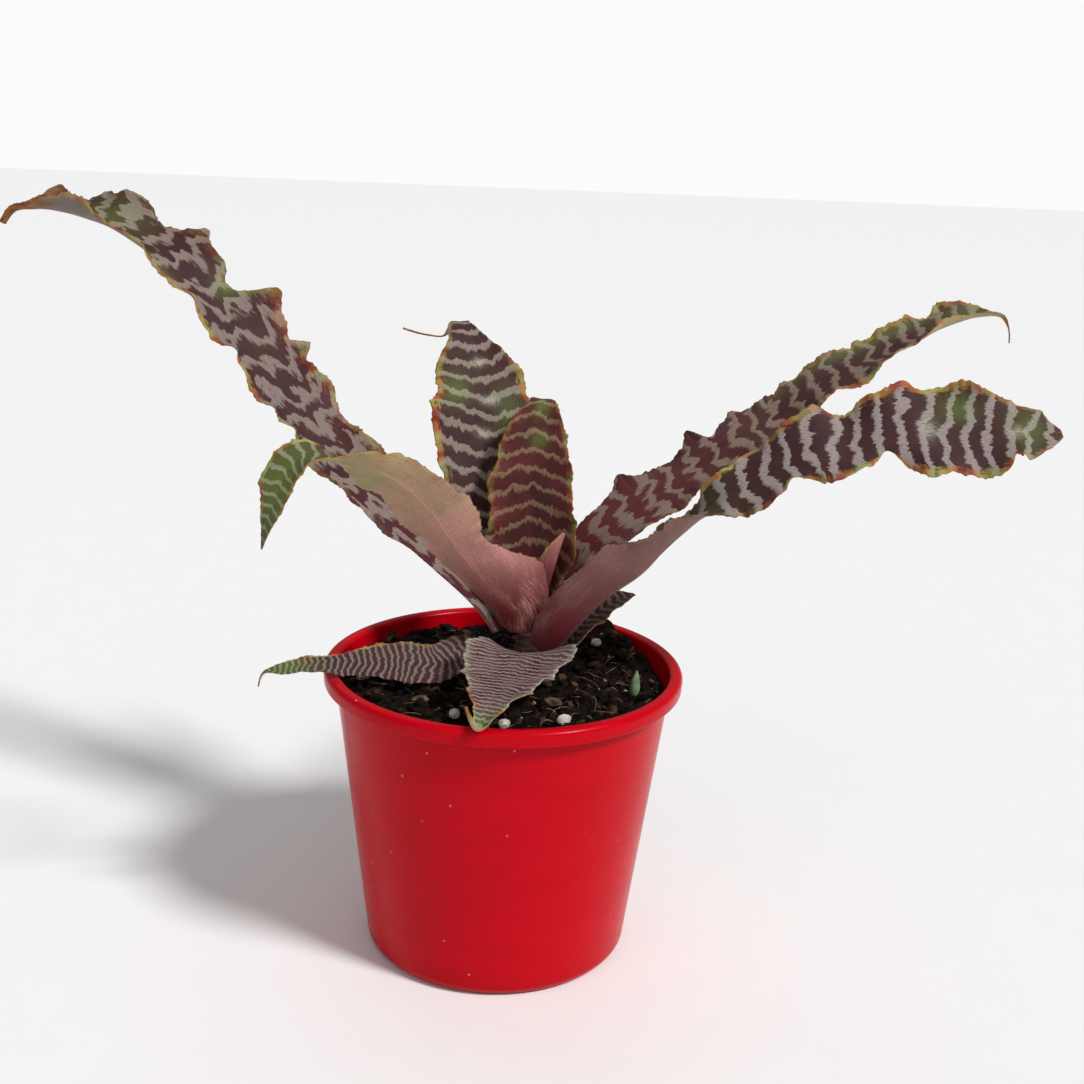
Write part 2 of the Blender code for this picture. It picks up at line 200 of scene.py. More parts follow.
def leaf_finish(name, dark, pale, under_base, under_tip, pale_from=0.52, soft=0.35, jag=0.35, wander=0.9):
    """Skin of one leaf.

    Bands of pale scurf lie across the dark upper side. In each step of the band count the scurf
    starts at pale_from, frayed into streaks along the leaf by noise, and ends in a crisp, jagged
    edge at 1. The underside is one sheet of scurf. Patches that the leaf carries turn it green,
    cream, red, or dry.
    """
    f = Finish(name)
    along, across, edge = f.attribute("along"), f.attribute("across"), f.attribute("edge")
    under, band = f.attribute("under"), f.attribute("band")
    green, cream, rim = f.attribute("green"), f.attribute("cream"), f.attribute("rim")
    dry, blush, length = f.attribute("dry"), f.attribute("blush"), f.attribute("length")

    slow = f.noise(f.vector(along * 0.07, across * 0.17), 1.0, 2.0)
    bite = f.noise(f.vector(along * 0.30, across * 0.75, 5.0), 1.0, 2.0, 0.6)
    feather = f.noise(f.vector(along * 0.22, across * 2.6), 1.0, 3.0, 0.65)
    thread = f.noise(f.vector(along * 0.5, across * 5.5, 3.0), 1.0, 2.0, 0.6)
    scurf = f.noise(f.vector(along * 2.6, across * 4.0, 7.0), 1.0, 2.0, 0.7)
    cloud = f.noise(f.vector(along * 0.06, across * 0.12, 11.0), 1.0, 3.0)

    count = band + (slow - 0.5) * wander + (bite - 0.5) * jag
    step = f.maths("FRACT", count)
    begun = f.ease(step + (feather - 0.5) * soft, pale_from - 0.06, pale_from + 0.08)
    ended = f.ease(step + (feather - 0.5) * 0.16, 0.90, 0.97)
    scurfed = begun * (1 - ended) * f.ease(thread + scurf, 0.62, 0.98)

    dark_skin = f.mix(f.ease(cloud, 0.35, 0.65), dark, UMBER)
    dark_skin = f.mix(blush, dark_skin, MAROON)
    dark_skin = f.mix(f.ease(scurf, 0.60, 0.80) * 0.22, dark_skin, pale)
    pale_skin = f.mix(f.ease(scurf, 0.62, 0.40) * 0.35, pale, dark)
    pale_skin = f.mix(f.ease(thread, 0.5, 0.7) * 0.3, pale_skin, SILVER)
    dark_skin = f.mix(green, dark_skin, LEAF_GREEN)
    pale_skin = f.mix(green * 0.8, pale_skin, PALE_GREEN)
    top = f.mix(scurfed, dark_skin, pale_skin)
    top = f.mix(cream * f.ease(feather + thread, 0.75, 1.15), top, CREAM)

    belly = f.mix(f.ease(along / length + (cloud - 0.5) * 0.7, 0.15, 0.7), under_base, under_tip)
    belly = f.mix(f.ease(thread, 0.4, 0.75) * 0.2, belly, SILVER)
    belly = f.mix(f.ease(scurf, 0.40, 0.6) * 0.4, belly, dark)
    belly = f.mix(f.ease(cloud + feather, 0.9, 1.2) * 0.2, belly, dark)
    belly = f.mix(f.ease(scurf, 0.38, 0.28) * 0.35, belly, SILVER)
    belly = f.mix(green * 0.55, belly, PALE_GREEN)
    belly = f.mix(blush * f.ease(cloud + (feather - 0.5) * 0.8, 0.25, 0.5), belly, WINE)
    skin = f.mix(under, top, belly)

    piping = f.noise(f.vector(along * 0.12, f.ease(across, -0.5, 0.5) * 9.0, 17.0), 1.0, 2.0)
    rim_colour = f.ramp(
        piping,
        (0.36, rgb(138, 56, 40)),
        (0.46, rgb(176, 98, 44)),
        (0.54, rgb(168, 152, 70)),
        (0.64, rgb(146, 158, 92)),
    )
    inside = 0.86 + (bite - 0.5) * 0.5
    skin = f.mix(f.ease(edge - inside, -0.07, 0.07) * rim, skin, rim_colour)
    burnt = f.mix(f.ease(feather, 0.4, 0.62), STRAW, BURNT)
    skin = f.mix(dry, skin, burnt)

    veins = f.maths("SINE", across * (TURN / 0.85) + (slow - 0.5) * 4.0)
    height = veins * 0.25 + scurf * 0.9 + thread * 0.5 + scurfed * (1 - under) * 0.35
    return f.wear(
        Base_Color=skin,
        Roughness=0.46 + scurfed * 0.16 + scurf * 0.14,
        Normal=f.relief(height, 0.16, 0.7),
        Specular_IOR_Level=0.2,
        Sheen_Weight=0.03,
        Sheen_Roughness=0.5,
    )


def pot_finish():
    """Moulded red plastic: a soft gloss, faint flow marks round it, scuffs, dust and dark specks, and
    painted shade that darkens its foot.
    """
    f = Finish("red_plastic")
    place = f.place()
    part = f.node("SeparateXYZ", {}, {0: place}, "Z")
    flow = f.noise(f.node("VectorMath", {"operation": "MULTIPLY"}, {0: place, 1: (1, 1, 6)}), 22.0, 3.0)
    grime = f.noise(place, 60.0, 4.0, 0.65)
    speck = f.node("TexVoronoi", {"feature": "F1"}, {"Vector": place, "Scale": 210.0}, "Distance")
    gate = f.noise(place, 130.0, 1.0)
    dots = f.ease(speck, 0.10, 0.05) * f.ease(gate, 0.60, 0.64)
    pale_dots = f.ease(speck, 0.12, 0.06) * f.ease(gate, 0.37, 0.33)
    red = f.mix(f.ease(flow, 0.3, 0.7), rgb(188, 0, 19), rgb(195, 0, 23))
    red = f.mix(f.ease(grime, 0.62, 0.8) * 0.35, red, rgb(190, 30, 40))
    red = f.mix(dots * 0.8, red, rgb(70, 8, 14))
    red = f.mix(pale_dots * 0.7, red, rgb(226, 150, 140))
    # Painted shade: the lowest 12 mm of the pot turn a darker red towards the floor.
    red = f.mix(f.ease(part, 0.012, 0.0) * 0.25, red, rgb(120, 0, 14))
    return f.wear(
        Base_Color=red,
        Roughness=0.27 + (grime - 0.5) * 0.20 + pale_dots * 0.3,
        Normal=f.relief(flow * 0.6 + grime * 0.4, 0.08, 0.3),
        Specular_IOR_Level=0.1,
        IOR=1.4,
        Coat_Weight=0.04,
        Coat_Roughness=0.1,
    )


def mix_finish(name):
    """Damp potting mix: near black, with brown bark dust. A crumb's own tone makes it paler."""
    f = Finish(name)
    place, tone = f.place(), f.attribute("tone")
    lumps = f.noise(place, 260.0, 4.0, 0.7)
    dust = f.noise(place, 1500.0, 3.0, 0.7)
    colour = f.ramp(
        lumps + (tone - 0.3) * 0.45,
        (0.36, rgb(12, 8, 7)),
        (0.54, rgb(24, 16, 12)),
        (0.68, rgb(44, 30, 22)),
        (0.86, rgb(92, 66, 46)),
    )
    colour = f.mix(f.ease(dust, 0.68, 0.74) * 0.4, colour, rgb(104, 88, 72))
    return f.wear(
        Base_Color=colour,
        Roughness=0.7 + (dust - 0.5) * 0.5,
        Normal=f.relief(lumps + dust * 0.5, 0.9, 0.9),
        Specular_IOR_Level=0.08,
    )


def grain_finish(name, low, high, scale, depth, roughness):
    """A rough grain whose colour wanders between two shades."""
    f = Finish(name)
    place = f.place()
    pits = f.noise(place, scale, 4.0, 0.65)
    colour = f.mix(f.ease(pits, 0.35, 0.65), low, high)
    return f.wear(
        Base_Color=colour,
        Roughness=roughness + (pits - 0.5) * 0.2,
        Normal=f.relief(pits, depth, 0.8),
    )


def shoot_finish(foot):
    """The shoot's bloomy green skin, yellower in the last millimetre above its foot."""
    f = Finish("green_shoot")
    place = f.place()
    bloom = f.noise(place, 500.0, 3.0)
    height = f.node("SeparateXYZ", {}, {0: place}, "Z")
    green = f.mix(f.ease(bloom, 0.35, 0.65), rgb(96, 124, 92), rgb(128, 152, 118))
    green = f.mix(f.ease(height, (foot + 1.0) * MM, foot * MM), green, rgb(150, 140, 100))
    return f.wear(Base_Color=green, Roughness=0.5 + bloom * 0.1, Normal=f.relief(bloom, 0.1, 0.5))


def husk_finish():
    """The stem's dry husk, drawn out into thin flat flakes."""
    f = Finish("stem_skin")
    flat = f.node("VectorMath", {"operation": "MULTIPLY"}, {0: f.place(), 1: (1, 1, 4)})
    scars = f.noise(flat, 260.0, 4.0, 0.7)
    husk = f.mix(f.ease(scars, 0.35, 0.65), rgb(38, 20, 17), rgb(96, 62, 46))
    return f.wear(Base_Color=husk, Roughness=0.75 + (scars - 0.5) * 0.3, Normal=f.relief(scars, 0.6, 0.9))


def plain_stage_finish():
    """The matt, nearly white floor."""
    f = Finish("studio_floor")
    grain = f.noise(f.place(), 40.0, 2.0)
    return f.wear(Base_Color=f.mix(grain, rgb(247, 247, 247), rgb(249, 249, 249)), Roughness=0.9)


# ---------------------------------------------------------------- mesh tools


def make_piece(name, points, faces, finish, slot, *nodes, numbers=None, sharp=None):
    """A mesh object from points in millimetres. It rides on the plant's one body, wears the finish given,
    and stands for the CAD nodes named, which it hides. The slot is not used."""
    mesh = bpy.data.meshes.new(name)
    mesh.from_pydata((np.asarray(points) * MM).tolist(), [], [list(face) for face in faces])
    mesh.update()
    mesh.shade_smooth()
    if sharp is not None:
        mesh.set_sharp_from_angle(angle=math.radians(sharp))
    for key, values in (numbers or {}).items():
        mesh.attributes.new(key, "FLOAT", "POINT").data.foreach_set(
            "value", np.asarray(values, np.float32).ravel()
        )
    thing = bpy.data.objects.new(name, mesh)
    mesh.materials.append(finish)
    bpy.context.scene.collection.objects.link(thing)
    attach(thing, "root")
    if nodes:
        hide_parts(*nodes)
    return thing


def ring_faces(rows, size):
    """Quads between rows of points, each row a closed ring of the given size."""
    above = np.arange(rows - 1)[:, None] * size
    below = above + size
    here = np.arange(size)[None, :]
    after = (here + 1) % size
    return np.stack([above + here, above + after, below + after, below + here], -1).reshape(-1, 4).tolist()


def closed_faces(rows, size, upward=False):
    """Faces of a body made of rings of points with two poles listed after them, the first one over
    the first ring. The rings run downwards, or upwards if upward is set."""
    here = np.arange(size)
    there = (here + 1) % size
    last = (rows - 1) * size
    pole = np.full(size, rows * size)
    faces = ring_faces(rows, size)
    faces += np.stack([there, here, pole], -1).tolist()
    faces += np.stack([last + here, last + there, pole + 1], -1).tolist()
    return faces if upward else [face[::-1] for face in faces]


def lathe(profile, sides, middle=(0.0, 0.0)):
    """Points and faces of a profile of (radius, height) turned round an upright axis. It starts and
    ends on the axis, with the body on its right-hand side, and each end is a single point."""
    profile = np.asarray(profile, float)
    turn = np.linspace(0.0, TURN, sides, endpoint=False)
    radius, height = profile[1:-1, 0:1], profile[1:-1, 1:2]
    x, y = middle[0] + radius * np.cos(turn), middle[1] + radius * np.sin(turn)
    rings = np.stack([x, y, height + 0.0 * turn], -1).reshape(-1, 3)
    poles = [[*middle, profile[0, 1]], [*middle, profile[-1, 1]]]
    return np.concatenate([rings, poles]), closed_faces(len(radius), sides)


def arc(cx, cz, radius, start, end, count):
    """Points on a circular arc in the profile plane, angles in degrees."""
    turn = np.radians(np.linspace(start, end, count))
    return np.stack([cx + radius * np.cos(turn), cz + radius * np.sin(turn)], -1).tolist()


def wander(x, period, seed):
    """A smooth irregular line of about unit height: sines of unlike periods added up."""
    lot = np.random.default_rng(seed)
    phases, ratios = lot.uniform(0, TURN, 5), np.array([1.0, 0.61, 1.43, 0.37, 0.23])
    weights = np.array([0.5, 0.35, 0.3, 0.2, 0.12])
    return sum(w * np.sin(TURN * x / (period * r) + p) for w, r, p in zip(weights, ratios, phases))


def chance(number, seed):
    """A repeatable number from 0 to 1 for each whole number."""
    return np.modf(np.abs(np.sin(number * 12.9898 + seed * 4.1414) * 43758.5453))[0]


# ---------------------------------------------------------------- leaves

ROW_STEP = 0.5  # mm between the rows of a leaf
COLUMNS = 41
MIDRIB_THICKNESS = 1.5
MARGIN_THICKNESS = 0.7
THINNEST_HALF = 0.3
RUFFLE_PERIOD = 17.0
FRILL_PERIOD = 8.5
FRILL_HEIGHT = 0.55
TOOTH_PITCH = 2.7
TOOTH_LENGTH = 0.75
TOOTH_CLIMB = 0.72  # the share of a tooth that climbs, before it drops
GROOVE_DEPTH = 0.32
GROOVE_REACH = 1.1
DRYING_SHARE = 0.04  # of the leaf's length, over which its tip turns dry

# places across a leaf, -1 at its left margin and 1 at its right, closer together near the margins
SPREAD = np.linspace(-1.0, 1.0, COLUMNS)[None, :]
V = 0.55 * SPREAD + 0.45 * np.sin(SPREAD * math.pi / 2)
RIGHT = 1.0 / (1.0 + np.exp(-12.0 * V))  # 0 on the left half, 1 on the right, eased at the midrib


def smooth_through(knots, values, at):
    """Smooth interpolation through stations: cubic pieces with slopes averaged from both sides."""
    step = np.diff(knots)[:, None]
    rise = np.diff(values, axis=0) / step
    slope = np.empty_like(values)
    slope[1:-1] = (rise[:-1] * step[1:] + rise[1:] * step[:-1]) / (step[1:] + step[:-1])
    slope[0] = 1.5 * rise[0] - 0.5 * slope[1]
    slope[-1] = 1.5 * rise[-1] - 0.5 * slope[-2]
    i = np.clip(np.searchsorted(knots, at, side="right") - 1, 0, len(knots) - 2)
    h = step[i]
    t = (at - knots[i])[:, None] / h
    return (
        (2 * t**3 - 3 * t**2 + 1) * values[i]
        + (t**3 - 2 * t**2 + t) * h * slope[i]
        + (3 * t**2 - 2 * t**3) * values[i + 1]
        + (t**3 - t**2) * h * slope[i + 1]
    )


def unit(rows):
    """Vectors scaled to a length of 1."""
    return rows / np.maximum(np.linalg.norm(rows, axis=-1, keepdims=True), 1e-9)


def either_side(make, seed):
    """make(seed) on the left half of a leaf and make(seed + 1) on the right half."""
    return np.where(V < 0, make(seed), make(seed + 1))


def teeth(along, seed):
    """Height of the margin's teeth: a ramp towards the tip and a short drop, each its own size."""
    count = along / TOOTH_PITCH + 0.35 * wander(along, 9.0, seed)
    share = count - np.floor(count)
    climb, drop = (share / TOOTH_CLIMB) ** 1.6, (1 - share) / (1 - TOOTH_CLIMB)
    return np.where(share < TOOTH_CLIMB, climb, drop) * (0.35 + 0.65 * chance(np.floor(count), seed))


def patches(part, spots):
    """How strongly a set of soft oval spots covers the leaf. Each spot has its place along the leaf
    (0 to 1), its place across (-1 to 1), its reach along and across, and its strength."""
    cover = np.zeros(np.broadcast(part, V).shape)
    for place, across, reach, width, strength in spots:
        spot = strength * np.exp(-(((part - place) / reach) ** 2) - ((V - across) / width) ** 2)
        cover = np.maximum(cover, spot)
    return cover


def leaf_rows(stations, heading):
    """The rows of a leaf: distance along, station values, and the directions sideways and up from
    the midrib. Sideways is level for a leaf of this heading, until the station's roll turns it."""
    table = np.array(stations, float)
    lengths = np.linalg.norm(np.diff(table[:, :3], axis=0), axis=1)
    knots = np.concatenate([[0.0], np.cumsum(lengths)])
    along = np.linspace(0.0, knots[-1], int(knots[-1] / ROW_STEP) + 1)[:, None]
    value = smooth_through(knots, table, along[:, 0])
    ahead = unit(np.gradient(value[:, :3], along[:, 0], axis=0))
    turn = math.radians(heading)
    level = np.array([math.sin(turn), -math.cos(turn), 0.0])
    side = unit(level - (ahead @ level)[:, None] * ahead)
    up = np.cross(side, ahead)
    roll = np.radians(value[:, 5:6])
    return along, value, side * np.cos(roll) + up * np.sin(roll), up * np.cos(roll) - side * np.sin(roll)


def leaf_sheet(rows, waves, look, seed):
    """A leaf's middle surface, with its normals and half widths.

    At (distance along, V across) it is: midrib point + half width * sin(V cup) / cup sideways + half
    width * (1 - cos(V cup)) / cup up. Sine waves and a frill lift the margins, lobes and flare widen
    them, teeth stand out from them, and a narrow groove sinks the midrib.
    """
    along, value, side, up = rows
    count, height, left_phase, right_phase, flare = waves
    part = along / along[-1]
    grown = np.clip(np.minimum((part - 0.12) / 0.2, (1 - part) / 0.12), 0.0, 1.0)
    angle = TURN * (count * part + left_phase * (1 - RIGHT) + right_phase * RIGHT)

    halves = np.maximum(value[:, 3:5], THINNEST_HALF)
    half = halves[:, :1] * (1 - RIGHT) + halves[:, 1:] * RIGHT
    uneven = either_side(lambda s: wander(along, RUFFLE_PERIOD, s), seed)
    half = half * (1 + (flare * np.cos(angle) + 0.05 * uneven) * V**2 * grown)
    for place, sign, breadth, push in look.get("lobes", []):
        half = half + push * np.exp(-(((part - place) / breadth) ** 2)) * np.clip(sign * V, 0, 1) ** 2

    cup = np.radians(np.maximum(value[:, 6:7], 1.0))
    across = half * np.sin(V * cup) / cup
    frill = either_side(lambda s: wander(along, FRILL_PERIOD, s), seed + 2)
    lift = half * (1 - np.cos(V * cup)) / cup
    lift = lift + height * grown * np.minimum(1, half / 10) * np.abs(V) ** 2.5 * np.sin(angle)
    lift = lift + FRILL_HEIGHT * grown * np.minimum(1, half / 8) * np.abs(V) ** 4 * frill
    sheet = value[:, None, :3] + across[..., None] * side[:, None, :] + lift[..., None] * up[:, None, :]

    outward = unit(np.gradient(sheet, axis=1))
    normal = unit(np.cross(outward, np.gradient(sheet, axis=0)))
    tooth = either_side(lambda s: teeth(along, s), seed + 4)
    reach = look.get("teeth", TOOTH_LENGTH) * np.minimum(1, half / 5) * np.clip(part / 0.08, 0, 1)
    at_margin = np.clip((np.abs(V) - 0.8) / 0.2, 0, 1) ** 2
    sheet = sheet + (np.sign(V) * tooth * reach * at_margin)[..., None] * outward
    groove = GROOVE_DEPTH * np.exp(-((V * half / GROOVE_REACH) ** 2)) * np.clip(half / 6, 0, 1)
    return sheet - groove[..., None] * normal, normal, half


def leaf_faces(rows):
    """Faces round a leaf of so many rows. A strip that joins each upper point to the lower one under
    it closes the foot, and another closes the tip."""
    size = 2 * COLUMNS - 2
    upper = np.arange(COLUMNS)
    lower = np.concatenate([[0], np.arange(size - 1, COLUMNS - 1, -1), [COLUMNS - 1]])
    strip = np.stack([upper[:-1], lower[:-1], lower[1:], upper[1:]], -1).tolist()
    foot = [list(dict.fromkeys(quad)) for quad in strip]
    tip = [[(rows - 1) * size + corner for corner in quad[::-1]] for quad in foot]
    return ring_faces(rows, size) + foot + tip


def round_ring(upper, lower):
    """Rows of values on the upper side, then the lower side's, taken back from margin to margin."""
    return np.concatenate([upper, lower[:, -2:0:-1]], axis=1)


def leaf_numbers(along, half, look):
    """What the leaf's finish reads at its points: distances along and across, the count of bands
    since the base, which side it is, and how strongly each patch shows."""
    part, length = along / along[-1], along[-1]
    first, last = look["period"]
    growth = last / first - 1
    band = np.log(1 + growth * part) / growth * length / first
    values = {
        "along": along,
        "length": length,
        "across": V * half,
        "edge": np.abs(V),
        "band": band - look["chevron"] * np.abs(V * half) / first + look["stagger"] * RIGHT,
        "dry": np.clip((part - look["dry_from"]) / DRYING_SHARE, 0, 1),
    }
    values |= {key: patches(part, look.get(key, [])) for key in ("rim", "green", "cream", "blush")}
    numbers = {}
    for key, value in values.items():
        value = np.broadcast_to(value, half.shape)
        numbers[key] = round_ring(value, value)
    numbers["under"] = round_ring(np.zeros(half.shape), np.ones(half.shape))
    return numbers


def make_leaf(name, heading, waves, stations, finish, look, seed):
    """One leaf as a closed loft: half the thickness is added on both sides of its sheet, most at the
    midrib and none at the very margins."""
    rows = leaf_rows(stations, heading)
    sheet, normal, half = leaf_sheet(rows, waves, look, seed)
    body = MIDRIB_THICKNESS + (MARGIN_THICKNESS - MIDRIB_THICKNESS) * np.abs(V) ** 0.8
    body = body * np.sqrt(np.clip(1 - V**10, 0, 1)) * np.clip(0.35 + half / 9, 0, 1)
    out = 0.5 * body[..., None] * normal
    points = round_ring(sheet + out, sheet - out).reshape(-1, 3)
    numbers = leaf_numbers(rows[0], half, look)
    return make_piece(name + "_blade", points, leaf_faces(len(sheet)), finish, name, name, numbers=numbers)


# stations of each leaf: x, y, z, half width left, half width right, roll, cup (mm and degrees)
LONG_LEFT = [
    (-3, 10, 116, 10, 11, 0, 62), (-8, 13, 124, 9, 12, 8, 50), (-24, 19, 139, 8, 13, 18, 35),
    (-38, 27, 149, 8, 14, 24, 25), (-52, 35, 161, 10, 14, 28, 20), (-71, 45, 176, 11, 14, 30, 16),
    (-85, 51, 190, 10, 16, 30, 14), (-97, 57, 203, 10, 16, 30, 14), (-110, 62, 217, 9, 16, 30, 16),
    (-123, 66, 229, 8, 15, 28, 20), (-135, 70, 240, 8, 15, 22, 30), (-147, 74, 247, 9, 16, 12, 50),
    (-158, 77, 252, 9, 16, 2, 72), (-168, 79, 255, 9, 15, -5, 82), (-177, 81, 257, 9, 12, -5, 80),
    (-190, 83, 258, 6, 7, 0, 60), (-199, 83, 256, 3, 3, 0, 50), (-203, 83, 251, 2, 2, 0, 50),
]
BACK_RIGHT = [
    (17, 12, 116, 9, 9, 0, 60), (21, 15, 128, 11, 11, -10, 50), (27, 19, 142, 9, 12, -15, 42),
    (35, 23, 153, 9, 15, -22, 35), (47, 28, 162, 10, 14, -28, 25), (57, 33, 169, 8, 13, -30, 20),
    (69, 38, 176, 8, 13, -30, 16), (82, 44, 186, 8, 14, -30, 15), (98, 51, 192, 8, 11, -30, 16),
    (111, 55, 203, 8, 11, -28, 20), (125, 60, 211, 8, 11, -25, 28), (140, 66, 217, 8, 10, -20, 45),
    (155, 71, 223, 9, 7, -8, 60), (168, 76, 228, 9, 6, 0, 65), (180, 80, 231, 6, 4, 0, 60),
    (190, 82, 230, 1.5, 1.5, 0, 40), (193, 83, 226, 0.4, 0.4, 0, 40), (194, 83, 220, 0.3, 0.3, 0, 40),
]
FRONT_RIGHT = [
    (16, -6, 115, 12, 9, 42, 66), (22, -10, 124, 13, 13, 38, 70), (33, -16, 139, 15, 15, 36, 74),
    (46, -20, 151, 15, 15, 32, 76), (56, -23, 163, 10, 11, 15, 74), (65, -26, 173, 7, 8, -15, 55),
    (73, -29, 182, 7, 11, -42, 25), (82, -30, 188, 10, 13, -50, 12), (92, -31, 194, 10, 10, -52, 8),
    (100, -31, 199, 12, 12, -52, 6), (111, -31, 200, 13, 12, -52, 6), (121, -32, 203, 14, 9, -55, 6),
    (133, -32, 206, 16, 15, -55, 6), (146, -33, 206, 16, 17, -55, 6), (157, -34, 207, 14, 14, -55, 6),
    (166, -35, 208, 9, 10, -52, 8), (173, -36, 207, 7, 6, -50, 8), (178, -36, 208, 1, 2, -50, 8),
]
FRONT_LEFT = [
    (3, -5, 122, 9, 9, -30, 60), (2, -8, 129, 15, 13, -32, 60), (-4, -12, 138, 21, 14, -34, 52),
    (-11, -17, 148, 14, 12, -38, 40), (-18, -22, 158, 11, 12, -42, 28), (-25, -28, 170, 14, 12, -45, 18),
    (-33, -34, 180, 11, 11, -46, 14), (-41, -39, 186, 9, 11, -42, 12), (-51, -43, 190, 9, 6, -28, 14),
    (-58, -46, 192, 7, 7, 0, 25), (-65, -48, 192, 7.5, 8, 22, 32), (-70, -49, 187, 7, 8, 26, 30),
    (-73, -50, 179, 5, 6, 20, 22), (-76, -50, 170, 3, 3, 10, 20), (-78, -50, 162, 0.4, 0.4, 0, 20),
]
BACK_UPRIGHT = [
    (6, 13, 124, 8, 8, 0, 60), (3, 17, 138, 12, 11, 0, 50), (-3, 23, 151, 15, 12, 0, 36),
    (-8, 27, 167, 17, 17, 0, 28), (-11, 32, 183, 19, 19, 0, 22), (-11, 38, 197, 20, 17, 0, 18),
    (-14, 45, 210, 16, 11, 0, 12), (-18, 51, 220, 9, 4, 0, 10), (-22, 57, 223, 4, 3, 0, 10),
    (-25, 64, 221, 2, 2, -6, 20), (-27, 70, 218, 1.2, 1.2, -10, 30), (-30, 75, 215, 0.6, 0.6, 0, 30),
    (-37, 77, 215, 0.5, 0.5, 0, 30), (-46, 78, 217, 0.4, 0.4, 0, 30),
]
CENTRE = [
    (9, 10, 126, 8, 8, 0, 65), (9, 11, 136, 13, 13, 0, 60), (9, 12, 145, 17, 19, 0, 48),
    (8, 15, 160, 16, 18, 0, 34), (8, 19, 176, 15, 15, 0, 25), (9, 24, 189, 11, 11, 0, 18),
    (10, 28, 197, 7, 6, 0, 12), (10, 33, 199, 4, 4, 0, 12), (10, 39, 196, 2, 2, 0, 15),
]
YOUNG = [
    (12, 3, 128, 3, 3, 0, 60), (14, 2, 136, 5, 5, 10, 75), (16, 1, 145, 6, 6, 15, 80),
    (18, 1, 152, 4, 4, 10, 75), (20, 2, 157, 1, 1, 0, 60),
]
LOW_FRONT = [
    (6, -5, 110, 9, 9, 0, 40), (6, -10, 115, 15, 13, 0, 36), (6, -17, 117, 20, 19, 0, 26),
    (4, -27, 116, 18, 18, 0, 20), (1, -41, 115, 14, 14, 0, 20), (-2, -54, 114, 8, 8, 0, 25),
    (-4, -63, 112, 4, 4, 0, 40), (-6, -68, 110, 2, 2, 0, 50), (-8, -71, 114, 1, 1, 0, 50),
    (-10, -71, 119, 0.5, 0.5, 0, 50),
]
LOW_LEFT = [
    (-5, 1, 110, 5, 5, 15, 50), (-13, -2, 112, 8, 7, 25, 40), (-25, -9, 110, 10, 7, 34, 20),
    (-37, -12, 112, 10, 7, 36, 16), (-49, -15, 112, 8, 5, 32, 16), (-61, -18, 112, 6, 3, 26, 20),
    (-72, -20, 111, 5, 3, 22, 30), (-79, -22, 110, 4, 2, 15, 40), (-83, -23, 109, 1, 1, 0, 40),
    (-85, -23, 104, 0.4, 0.4, 0, 40),
]
LOW_RIGHT = [
    (18, 1, 108, 4, 5, 0, 45), (24, 3, 115, 8, 8, -8, 35), (31, 8, 123, 9, 9, -12, 25),
    (40, 12, 129, 6, 6, -12, 25), (47, 15, 131, 1, 1, -5, 30),
]

